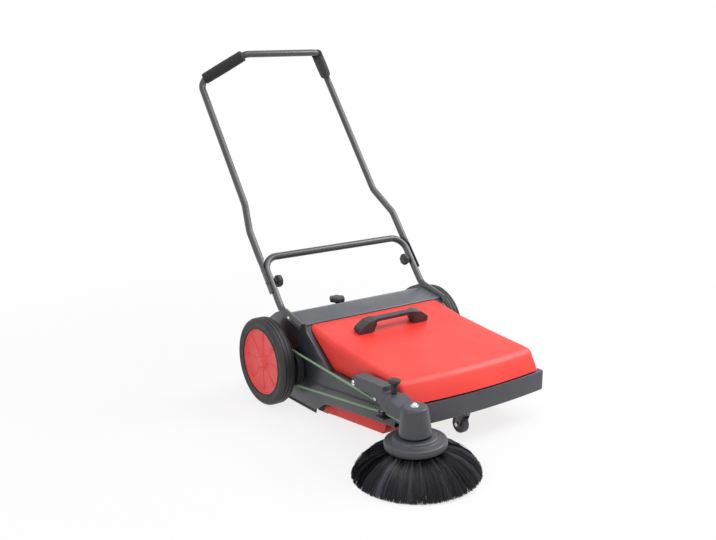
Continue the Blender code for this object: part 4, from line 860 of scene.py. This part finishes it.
# %% [markdown]
# The clamp knobs sit on the inner ends of the clamp bolts, and a larger one on the housing.
# A knob's outline is a circle with soft lobes; it is filled, pulled out and rounded.


# %% Star knobs
def lobes(centre, radius, count, depth):
    """The outline of a star knob round a centre."""
    outline = []
    for k in range(count * 12):
        angle = 2 * math.pi * k / (count * 12)
        reach = radius - depth * (1 - math.cos(count * angle)) / 2
        outline.append((centre[0] + reach * math.cos(angle), centre[1] + reach * math.sin(angle)))
    return outline


for side, name in SIDES:
    low, high = sorted((side * 0.2470, side * 0.2640))
    slab(lobes((clamp.y, clamp.z), 0.0200, 7, 0.0016), low, high, "X")
    soften(0.0050, 5, 50)
    knob = settle()
    neck = [(0.0, 0.2709), (0.0088, 0.2709), (0.0105, 0.2600), (0.0, 0.2600)]
    turned(neck, outward(side, clamp.y, clamp.z), 32)
    together(knob, settle())
    done(f"{name}_star_knob", "black_plastic", f"{name}_knob", f"{name}_clamp_knob", smooth=40)

slab(lobes((-0.047, 0.030), 0.027, 6, 0.0035), 0.2785, 0.2945, "Z")
soften(0.0045, 4, 50)
knob = settle()
stem = [
    (0.0, 0.2820), (0.0160, 0.2820), (0.0160, 0.2780), (0.0110, 0.2750), (0.0060, 0.2735),
    (0.0060, 0.2620), (0.0100, 0.2620), (0.0100, 0.2560), (0.0, 0.2560),
]
turned(stem, Matrix.Translation(at(-0.047, 0.030)), 32)
together(knob, settle())
done("housing_star_knob", "black_plastic", "housing_knob", "rear_knob", smooth=40)

# %% [markdown]
# ## Hopper
# The red lid is the largest surface in view. Its front edge is drawn first, as a bowed line,
# and pulled back section by section; a scale of zero along Y takes the bow out again after the
# first pull. Then the outer edges are pulled down, each section to its own foot. The creases are
# rounded, and the shell gets its wall.

# %% Lid
LID_TOP = [(-0.565, 0.219), (-0.388, 0.234), (-0.245, 0.249), (-0.1205, 0.2703)]
LID_FOOT = [(-0.601, 0.1595), (-0.424, 0.1653), (-0.300, 0.1653), (-0.2585, 0.1653)]
LID_EDGE, LID_INNER = 0.257, 0.220
across = [-LID_EDGE] + [LID_INNER * (k / 12 - 1) for k in range(25)] + [LID_EDGE]
front = [at(x, LID_TOP[0][0] - 0.018 * (1 - (x / LID_EDGE) ** 2), LID_TOP[0][1]) for x in across]
draw(front)
for k, (here, there) in enumerate(zip(LID_TOP, LID_TOP[1:])):
    bpy.ops.mesh.select_mode(type="EDGE")
    if k:
        row = LID_TOP[k][0]
        pick("edges", lambda middle, edge: abs(middle.y - row) < 1e-4)
    else:
        everything()
    pull(0, there[0] - here[0], there[1] - here[1])
    if not k:
        bpy.ops.transform.resize(value=(1, 0, 1), center_override=at(0, there[0], there[1]))
pick(
    "edges",
    lambda middle, edge: edge.is_boundary and (abs(middle.x) > LID_EDGE - 0.0001 or middle.y < -0.5649),
)
drop = (LID_FOOT[0][0] - LID_TOP[0][0], LID_FOOT[0][1] - LID_TOP[0][1])
pull(0, *drop)
for (top_y, top_z), (foot_y, foot_z) in zip(LID_TOP[1:], LID_FOOT[1:]):
    now = (top_y + drop[0], top_z + drop[1])
    pick(
        "verts",
        lambda middle, vert: abs(middle.y - now[0]) < 1e-4 and abs(middle.z - now[1]) < 1e-4,
    )
    bpy.ops.transform.translate(value=(0, foot_y - now[0], foot_z - now[1]))
everything()
bpy.ops.mesh.normals_make_consistent(inside=False)
shape = bmesh.from_edit_mesh(bpy.context.object.data)
if sum(face.normal.z * face.calc_area() for face in shape.faces) < 0:
    bpy.ops.mesh.flip_normals()
pick("edges", lambda middle, edge: edge.calc_face_angle(0) > 0.5)
bpy.ops.mesh.bevel(offset=0.017, segments=8, affect="EDGES")
modify("SOLIDIFY", thickness=0.003, offset=-1, use_even_offset=True)
soften(0.0008, 2, 60)
done("shell_lid", "hopper_red", "hopper", "hopper_lid", smooth=25)

# %% [markdown]
# Below the lid is the bin, of the same red plastic; its edge shows under the side plate. A merged
# copy of the solid is made 18 mm deeper and gets softened edges, with a small fin at each side of
# its rear. The rubber lip behind it is a softened copy too, with a flap at each side.

# %% Bin
copy_of("hopper_bin")
pick("verts", lambda middle, vert: middle.z < 0.085)
bpy.ops.transform.translate(value=(0, 0.004, -0.018))
soften(0.0008, 2)
bin_shell = settle()
fins = []
for side, name in SIDES:
    fin = [(-0.240, 0.050), (-0.207, 0.0400), (-0.184, 0.0085), (-0.198, 0.0075), (-0.262, 0.0150)]
    slab(fin, *sorted((side * 0.2435, side * 0.2470)), "X")
    soften(0.0006, 2)
    fins.append(settle())
together(bin_shell, *fins)
done("soft_bin", "hopper_red", "hopper", "hopper_bin")

copy_of("hopper_lip")
soften(0.0006, 2)
lip = [settle()]
for side, name in SIDES:
    flap = [(-0.213, 0.0405), (-0.2024, 0.0385), (-0.1475, 0.0065), (-0.153, 0.0018), (-0.205, 0.0060)]
    slab(flap, *sorted((side * 0.2438, side * 0.2462)), "X")
    soften(0.0005, 2)
    lip.append(settle())
together(*lip)
done("winged_lip", "rubber", "hopper", "hopper_lip")

# %% [markdown]
# The grip has two stout feet and a slimmer bar between them. Its side view is drawn as one
# outline, pulled out to its width, turned to lie on the sloping lid, and the bar's long faces
# are drawn together so that a hand closes round it.

# %% Grip
arch = [(-0.135, 0.0), (-0.131, 0.018), (-0.104, 0.037), (-0.082, 0.041)]
under = [(0.078, 0.0), (0.074, 0.020), (0.064, 0.0305)]
outline = arch + [(-x, z) for x, z in arch[::-1]] + under + [(-x, z) for x, z in under[::-1]]
outline = bent(outline, 0.010, closed=True, step=12)
grip_x, grip_y = -0.0175, -0.225
grip_z = 0.249 + 0.020 * (grip_y + 0.245) / 0.117 + 0.0003
slab([(grip_x + x, grip_z + z) for x, z in outline], grip_y - 0.017, grip_y + 0.017, "Y")
for cut in (-0.090, -0.066, 0.066, 0.090):
    everything()
    bpy.ops.mesh.bisect(plane_co=at(grip_x + cut, 0), plane_no=(1, 0, 0))
pick("verts", lambda middle, vert: abs(middle.x - grip_x) < 0.067 and middle.z > grip_z + 0.02)
bpy.ops.transform.resize(value=(1, 0.62, 1), center_override=at(grip_x, grip_y, grip_z))
tilt = math.atan2(0.020, 0.117)
begin()
grip = bpy.context.object
pivot = Matrix.Translation(at(grip_x, grip_y, grip_z))
grip.select_set(True)
grip.data.transform(Matrix.Translation(grip.location))
grip.location = (0, 0, 0)
grip.data.transform(pivot @ Matrix.Rotation(tilt, 4, "X") @ pivot.inverted())
soften(0.0045, 4, 38)
done("hand_grip", "grey_plastic", "hopper", "hopper_grip", smooth=50, look="grip_moulding")

# %% [markdown]
# ## Side brush
# The arm is one moulding: an inner wall with the pivot's boss, a box above the belt, a neck, and
# a cone over the spindle. Each is a slab, a block, a bent sheet or a turned shell, and stands in a
# list with its sizes, so that one loop can make them all. The whole is then rebuilt from small
# cubes, which fuses the pieces, smoothed, which gives every corner the soft radius of a moulding,
# and thinned.

# %% Brush arm
SPINDLE = Matrix.Translation(at(-0.290, -0.693)) @ Matrix.Rotation(math.radians(-3), 4, "Y")
PIVOT = (-0.396, 0.172)
BOX_TOP = [(-0.4435, 0.188), (-0.4435, 0.2165), (-0.574, 0.2205), (-0.580, 0.205), (-0.612, 0.205)]
wall = BOX_TOP + [(-0.612, 0.152), (-0.574, 0.152), (-0.556, 0.175), (-0.514, 0.183)]
web = [
    (-0.380, 0.163), (-0.381, 0.183), (-0.394, 0.192), (-0.420, 0.193), (-0.440, 0.214),
    (-0.574, 0.218), (-0.582, 0.203), (-0.612, 0.203), (-0.612, 0.150), (-0.588, 0.1258),
    (-0.545, 0.1258), (-0.500, 0.150), (-0.412, 0.156), (-0.390, 0.154),
]
slope = [(-0.604, 0.172), (-0.604, 0.2035), (-0.620, 0.2030), (-0.648, 0.1925), (-0.659, 0.1915)]
slope += [(-0.659, 0.172)]
neck = [(-0.329, 0.1585), (-0.329, 0.1915), (-0.269, 0.1915), (-0.269, 0.1585)]
neck += [(-0.273, 0.1585), (-0.273, 0.1850), (-0.325, 0.1850), (-0.325, 0.1585)]
ARM_PARTS = [
    (sheet, BOX_TOP + [(-0.612, 0.152)], -0.318, -0.2785, 0.004, (0.3, -1)),
    (slab, wall, -0.318, -0.314, "X"),
    (slab, web, -0.2827, -0.2787, "X"),
    (block, (-0.3208, -0.584, 0.1262), (-0.2790, -0.546, 0.1306)),
    (block, (-0.318, -0.616, 0.150), (-0.2785, -0.608, 0.204)),
    (slab, slope, -0.329, -0.269, "X"),
    (slab, neck, -0.671, -0.600, "Y"),
    (block, (-0.329, -0.678, 0.1850), (-0.269, -0.640, 0.1915)),
]
for spot, radius, reach in (((-0.530, 0.1712), 0.0055, 0.2915), (PIVOT, 0.0125, 0.2842)):
    boss = [(0.0, 0.280), (radius, 0.280), (radius, reach), (0.0, reach)]
    ARM_PARTS.append((turned, boss, outward(-1, *spot), 32))
CONE = [
    (0.0094, 0.2011), (0.0285, 0.2005), (0.0335, 0.1985), (0.0364, 0.1940), (0.0374, 0.1870),
    (0.0448, 0.1225), (0.0436, 0.1215), (0.0418, 0.1225), (0.0345, 0.1850), (0.0330, 0.1910),
    (0.0290, 0.1950), (0.0094, 0.1945),
]
ARM_PARTS.append((turned, CONE, SPINDLE, 72, True))
parts = []
for make, *sizes in ARM_PARTS:
    make(*sizes)
    parts.append(settle())
together(*parts)
modify("REMESH", mode="VOXEL", voxel_size=0.0012, adaptivity=0.0)
modify("SMOOTH", factor=0.5, iterations=6)
modify("DECIMATE", ratio=0.4)
done("moulded_arm", "grey_plastic", "arm", "side_brush_arm", smooth=60, look="brush_moulding")

# %% [markdown]
# The spindle leans outwards by three degrees at the top, so everything on it is made in a
# leaning place. The ring that holds the bristles is turned in steps, and a domed nut on a
# six-sided base closes the cone.

# %% Ring, nut and bolt
RING = [
    (0.0160, 0.1497), (0.0160, 0.1195), (0.0175, 0.1180), (0.0540, 0.1174), (0.0580, 0.1166),
    (0.0606, 0.1142), (0.0620, 0.1108), (0.0640, 0.1094), (0.0760, 0.1078), (0.0800, 0.1068),
    (0.0834, 0.1048), (0.0850, 0.1012), (0.0850, 0.0905), (0.0842, 0.0878), (0.0815, 0.0862),
    (0.0780, 0.0860), (0.0083, 0.0860), (0.0083, 0.1497),
]
turned(RING, SPINDLE, 96, ring=True)
done("stepped_ring", "grey_plastic", "side_brush", "brush_ring", look="brush_moulding")

begin()
bpy.ops.mesh.primitive_cylinder_add(vertices=6, radius=0.0092, depth=0.0040, location=(0, 0, 0.2029))
soften(0.0006, 2)
bpy.context.object.data.transform(SPINDLE @ Matrix.Translation((0, 0, 0.2029)))
bpy.context.object.location = (0, 0, 0)
hexagon = settle()
dome = [(0.0074 * r, 0.2046 + 0.0052 * h) for r, h in DOME[:-1]] + [(0.0, 0.2046)]
turned(dome, SPINDLE, 32)
dome = settle()
turned([(0.0, 0.2018), (0.0108, 0.2016), (0.0110, 0.2009), (0.0, 0.2009)], SPINDLE, 40)
together(hexagon, dome, settle())
done("domed_nut", "bright_nut", "side_brush", "cap_nut")

head = [(0.0085 * r, 0.2843 + 0.0055 * h) for r, h in DOME[:-1]]
turned(head + [(0.005, 0.2843), (0.005, 0.2725), (0.0, 0.2725)], outward(-1, *PIVOT), 32)
done("arm_bolt_domed", "bright_nut", "chassis", "arm_pivot_bolt")

# %% [markdown]
# The bristles of both brushes are far too many to model one by one, and all alike. One strand
# is modelled from a three-sided cone, closed at both ends and cut twice so that it can bend. Its
# points are then copied along each bristle's own bent line by array arithmetic, with a seeded
# random spread.

# %% One strand
begin()
bpy.ops.mesh.primitive_cone_add(
    vertices=3, radius1=1.0, radius2=0.6, depth=1.0, location=(0, 0, 0.5), end_fill_type="NGON"
)
bpy.ops.object.mode_set(mode="EDIT")
for height in (0.35, 0.7):
    everything()
    bpy.ops.mesh.bisect(plane_co=(0, 0, height), plane_no=(0, 0, 1))
strand = settle()
STRAND_POINTS = np.array([vert.co[:] for vert in strand.data.vertices])
STRAND_FACES = [tuple(face.vertices) for face in strand.data.polygons]
bpy.data.objects.remove(strand)
print("one strand:", len(STRAND_POINTS), "points,", len(STRAND_FACES), "faces")


def brush_of(roots, tips, bows, thickness, tone_and_sheen):
    """A mesh of strands from roots to tips, each bowed sideways in its middle."""
    share = STRAND_POINTS[:, 2]
    line = roots[:, None] * (1 - share)[:, None] + tips[:, None] * share[:, None]
    line = line + bows[:, None] * (4 * share * (1 - share))[:, None]
    along = tips - roots
    along /= np.linalg.norm(along, axis=1)[:, None]
    side = np.cross(along, np.where(np.abs(along[:, :1]) > 0.8, (0, 1, 0), (1, 0, 0)))
    side /= np.linalg.norm(side, axis=1)[:, None]
    other = np.cross(along, side)
    u, v = STRAND_POINTS[:, 0] * thickness, STRAND_POINTS[:, 1] * thickness
    points = line + side[:, None] * u[:, None] + other[:, None] * v[:, None]
    count = len(STRAND_POINTS)
    faces = [
        tuple(k * count + corner for corner in face)
        for k in range(len(roots))
        for face in STRAND_FACES
    ]
    mesh = bpy.data.meshes.new("strands")
    mesh.from_pydata(points.reshape(-1, 3).tolist(), [], faces)
    mesh.attributes.new("tone_and_sheen", "FLOAT", "POINT").data.foreach_set("value", np.repeat(tone_and_sheen, count))
    take_up("strands", mesh)
    outwards()


# %% [markdown]
# The side brush is a skirt of tufts in four rings. The outer tufts splay furthest and end a
# little above the floor, the inner ones stand steeper, and every strand droops towards its tip.

# %% Side brush bristles
rng = np.random.default_rng(7)
roots, tips, bows, tone_and_sheen = [], [], [], []
# root radius, tip radius, tufts, strands in a tuft, least height of the tips
RINGS = (
    (0.051, 0.118, 36, 22, 0.0010),
    (0.059, 0.142, 44, 30, 0.0015),
    (0.067, 0.160, 52, 42, 0.0025),
    (0.076, 0.1715, 60, 64, 0.0055),
)
for ring, (root_radius, tip_radius, tufts, count, low) in enumerate(RINGS):
    for tuft in range(tufts):
        angle = 2 * math.pi * (tuft + 0.5 * (ring % 2) + rng.uniform(-0.15, 0.15)) / tufts
        # a few tufts lean to the pale tone, which is partly painted sheen
        tuft_tone_and_sheen = 0.85 * rng.random() ** 3.5
        spin = angle + rng.normal(0, 0.9 / tufts, count)
        fan = spin + rng.normal(0, 1.9 / tufts, count)
        root_r = root_radius + rng.uniform(-0.0035, 0.0035, count)
        tip_r = np.minimum(tip_radius - rng.gamma(1.5, 0.0028, count) + 0.0045, 0.1765)
        height = low + rng.gamma(1.5, 0.0022, count) + 0.9 * np.maximum(0.170 - tip_r, 0) * (ring > 2)
        root = np.stack([root_r * np.cos(spin), root_r * np.sin(spin), np.full(count, 0.0838)], 1)
        tip = np.stack([tip_r * np.cos(fan), tip_r * np.sin(fan), height], 1)
        out = np.stack([np.cos(angle) + 0 * fan, np.sin(angle) + 0 * fan, 0.8 + 0 * fan], 1)
        roots.append(root)
        tips.append(tip)
        bows.append(out * (0.0050 + 0.0018 * ring + rng.normal(0, 0.0010, count))[:, None])
        tone_and_sheen.append(np.clip(tuft_tone_and_sheen + rng.normal(0, 0.14, count), 0, 1))
roots, tips, bows, tone_and_sheen = (np.concatenate(part) for part in (roots, tips, bows, tone_and_sheen))
turn = np.array(SPINDLE.to_3x3())
foot = np.array(SPINDLE.translation)
ends = tips @ turn.T + foot
ends[:, 2] = np.maximum(ends[:, 2], 0.0012 + 0.0020 * rng.random(len(ends)))
brush_of(roots @ turn.T + foot, ends, bows @ turn.T, 0.0009, tone_and_sheen)
done("splayed_bristles", "bristle", "side_brush", "side_brush_bristles", smooth=80)

# %% [markdown]
# The roller brush has eight rows of tufts, each row a helix, so that the brush never leaves
# the floor. The strands stand straight out from the core.

# %% Roller bristles
rows, places, count = 8, 96, 7
row, place, _ = np.meshgrid(np.arange(rows), np.arange(places), np.arange(count), indexing="ij")
along = (place.ravel() + 0.5) / places - 0.5
angle = 2 * np.pi * row.ravel() / rows - np.pi / 2 + math.radians(48) * along
total = len(along)
start = angle + rng.normal(0, 0.05, total)
end = angle + rng.normal(0, 0.03, total)
x = along * 0.462
reach = 0.1325 + rng.uniform(-0.0015, 0.0008, total)
spot = np.array(at(0, -0.0839, 0.135))
roots = spot + np.stack([x, 0.036 * np.cos(start), 0.036 * np.sin(start)], 1)
tips = spot + np.stack([x + rng.normal(0, 0.0012, total), reach * np.cos(end), reach * np.sin(end)], 1)
# the pale end of the tone is partly painted sheen, as on the side brush
brush_of(roots, tips, np.zeros((total, 3)), 0.0008, rng.uniform(0, 0.6, total))
done("roller_tufts", "bristle", "roller_brush", "roller_bristles", smooth=80)

# %% [markdown]
# ## Belt
# A round green belt drives the side brush. From the pulley on the roller's shaft it runs forward over one
# guide roller, turns round the brush's pulley on its side, and comes back over the other. Its straight runs
# touch each circle at a tangent. It bends where the arm lifts.


# %% Drive belt
def touch(centre, radius, outside, side):
    """Where a line from an outside point touches a circle."""
    to_point = Vector(outside) - Vector(centre)
    turn = math.acos(radius / to_point.length) * side
    return Vector(centre) + Matrix.Rotation(turn, 2) @ to_point.normalized() * radius


# the plane of the belt, the two pulleys' radii, and how high the brush's pulley sits
PLANE, DRIVE, DRIVEN, GROOVE = -0.2988, 0.056, 0.031, 0.158
pulley, over, under = (-0.0839, 0.135), (-0.530, 0.1612), (-0.565, 0.138)
top, low = touch(pulley, DRIVE, over, -1), touch(pulley, DRIVE, under, 1)
first = math.atan2(low.y - pulley[1], low.x - pulley[0])
last = math.atan2(top.y - pulley[1], top.x - pulley[0])
route = []
for k in range(29):
    angle = first + (last - first) * k / 28
    spot = (pulley[0] + DRIVE * math.cos(angle), pulley[1] + DRIVE * math.sin(angle))
    route.append(at(PLANE, *spot))
upper_guide, lower_guide = at(PLANE, *over), at(PLANE, *under)
middle = (SPINDLE @ Vector((0, 0, GROOVE))).xy
inner = touch(middle, DRIVEN, upper_guide.xy, -1) - middle
outer = touch(middle, DRIVEN, lower_guide.xy, 1) - middle
first, last = math.atan2(inner.y, inner.x), math.atan2(outer.y, outer.x) - 2 * math.pi
around = []
for k in range(25):
    angle = first + (last - first) * k / 24
    spot = (DRIVEN * math.cos(angle), DRIVEN * math.sin(angle), GROOVE)
    around.append(SPINDLE @ Vector(spot))


def stretch(start, end, count=14):
    """Points along a straight run."""
    return [start.lerp(end, k / count) for k in range(1, count)]


over_bend = rounded([route[-1], upper_guide, around[0]], 0.03)[1:-1]
under_bend = rounded([around[-1], lower_guide, route[0]], 0.03)[1:-1]
route += stretch(route[-1], over_bend[0]) + over_bend + around + under_bend
route += stretch(route[-1], route[0])
tube(route, 0.0034, closed=True, sides=5)
hinge = ("chassis", "arm", at(PLANE, -0.372, 0.172), at(PLANE, -0.528, 0.172))
done("round_belt", "belt", hinge, "drive_belt", smooth=50)

# %% [markdown]
# The height screw has a round knob with fine grooves for the fingers. The knob is turned, and
# grooves come from pulling every third strip of its edge inwards a little.

# %% Height knob
KNOB = [
    (0.0, 0.2470), (0.0110, 0.2468), (0.0152, 0.2455), (0.0172, 0.2430), (0.0172, 0.2378),
    (0.0158, 0.2352), (0.0110, 0.2330), (0.0092, 0.2270), (0.0084, 0.2180), (0.0080, 0.2053),
    (0.0030, 0.2053), (0.0030, 0.1538), (0.0, 0.1538),
]
knob_x, knob_y = -0.296, -0.600
turned(KNOB, Matrix.Translation(at(knob_x, knob_y)), 48)


def on_groove(middle, vert):
    """Every third strip of the knob's edge."""
    angle = math.atan2(middle.y - knob_y, middle.x - knob_x)
    far = math.hypot(middle.y - knob_y, middle.x - knob_x) > 0.0165
    return far and round(angle / (2 * math.pi / 48)) % 3 == 0


pick("verts", on_groove)
bpy.ops.transform.resize(value=(0.94, 0.94, 1), center_override=at(knob_x, knob_y, 0.240))
done("grooved_knob", "black_plastic", "height_screw", "height_knob", smooth=40)

# %% [markdown]
# ## Caster
# A small wheel under the front: a black tread on a hub, in a pressed fork. The wheel is
# turned; the fork is a softened copy of its solid.

# %% Caster
CASTER = [
    (0.0042, 0.0110), (0.0090, 0.0110), (0.0098, 0.0092), (0.0180, 0.0092), (0.0196, 0.0108),
    (0.0235, 0.0110), (0.0262, 0.0094), (0.0271, 0.0060), (0.0272, 0.0),
]
profile = CASTER + [(radius, -height) for radius, height in CASTER[::-1]][1:]
turned(profile, outward(1, -0.540, 0.02726), 56, ring=True)
done("caster_roller", "black_plastic", "caster_roll", "caster_wheel", smooth=40, look="brush_moulding")
copy_of("caster_fork")
soften(0.0006, 2)
done("soft_fork", "steel", "caster_swivel", "caster_fork", look="painted_steel")

# %% [markdown]
# ## Studio
# The machine stands on a white floor under a white sky. The floor and the sky show as plain
# white to the camera and in reflections, while the light they give stays at a plain level; the
# floor keeps part of its shading, so that the machine's shadow grounds it.


# %% Floor and sky
def seen(tree):
    """1 for what the camera sees, directly, in a reflection or through glass."""
    path = node(tree, "LightPath", {})
    glossy, through = path.outputs["Is Glossy Ray"], path.outputs["Is Transmission Ray"]
    both = node(tree, "Math", {0: glossy, 1: through}, operation="MAXIMUM").outputs[0]
    sockets = {0: path.outputs["Is Camera Ray"], 1: both}
    return node(tree, "Math", sockets, operation="MAXIMUM").outputs[0]


begin()
bpy.ops.mesh.primitive_grid_add(x_subdivisions=2, y_subdivisions=2, size=90, location=(0, 0, -0.0005))
floor = bpy.context.object
floor.name = "floor"
paper, tree, shader = start_material("studio_paper")
shade = tones(tree, spread(tree, grain(tree, 3), 0, 1), (0.80, 0.80, 0.80), (0.82, 0.82, 0.82))
fill(tree, shader, {"Base Color": shade, "Roughness": 0.9})
glow = node(tree, "Emission", {"Color": (1, 1, 1, 1), "Strength": 1.0})
place = node(tree, "TexCoord", {}).outputs["Object"]
away = node(tree, "VectorMath", {0: place}, operation="LENGTH").outputs["Value"]
white = spread(tree, away, 0.80, 1.0, 0.7, 2.2)
share = node(tree, "Math", {0: seen(tree), 1: white}, operation="MULTIPLY").outputs[0]
mix = node(tree, "MixShader", {0: share, 1: shader.outputs[0], 2: glow.outputs[0]})
fill(tree, tree.nodes["Material Output"], {"Surface": mix.outputs[0]})
floor.data.materials.append(paper)
floor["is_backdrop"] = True

sky = bpy.data.worlds.new("studio")
bpy.context.scene.world = sky
sky.use_nodes = True
tree = sky.node_tree
strength = spread(tree, seen(tree), 0.58, 1.0, 0, 1)
fill(tree, tree.nodes["Background"], {"Color": (1, 1, 1, 1), "Strength": strength})
bpy.context.scene.view_settings.view_transform = "Standard"
print("floor and sky ready")


# %% [markdown]
# Broad lamps add direction to the sky's even light. The key stands high at the camera's right. A
# weaker one, above and a little in front, lights the tops. A faint one at the camera's left opens
# the shadows on the side of the machine that faces the camera.

# %% Lamps
def lamp(name, place, target, size, power):
    """A square soft lamp aimed at a target."""
    light = bpy.data.lights.new(name, "AREA")
    light.shape = "SQUARE"
    light.size = size
    light.energy = power
    made = bpy.data.objects.new(name, light)
    bpy.context.scene.collection.objects.link(made)
    made.location = place
    made.rotation_euler = (target - Vector(place)).to_track_quat("-Z", "Y").to_euler()


aim = Vector((0, 0, 0.3))
lamp("key", (2.5, -0.9, 2.7), aim, 1.8, 72)
lamp("top", (0.2, -1.4, 3.6), aim, 2.2, 44)
lamp("side", (-3.2, -0.6, 2.0), aim, 1.8, 17)
print("lamps: key, top, side")

# %% Finish
sizes = {"cad": [list(corner) for corner in plain_box], "visual": [list(corner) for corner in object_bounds()]}
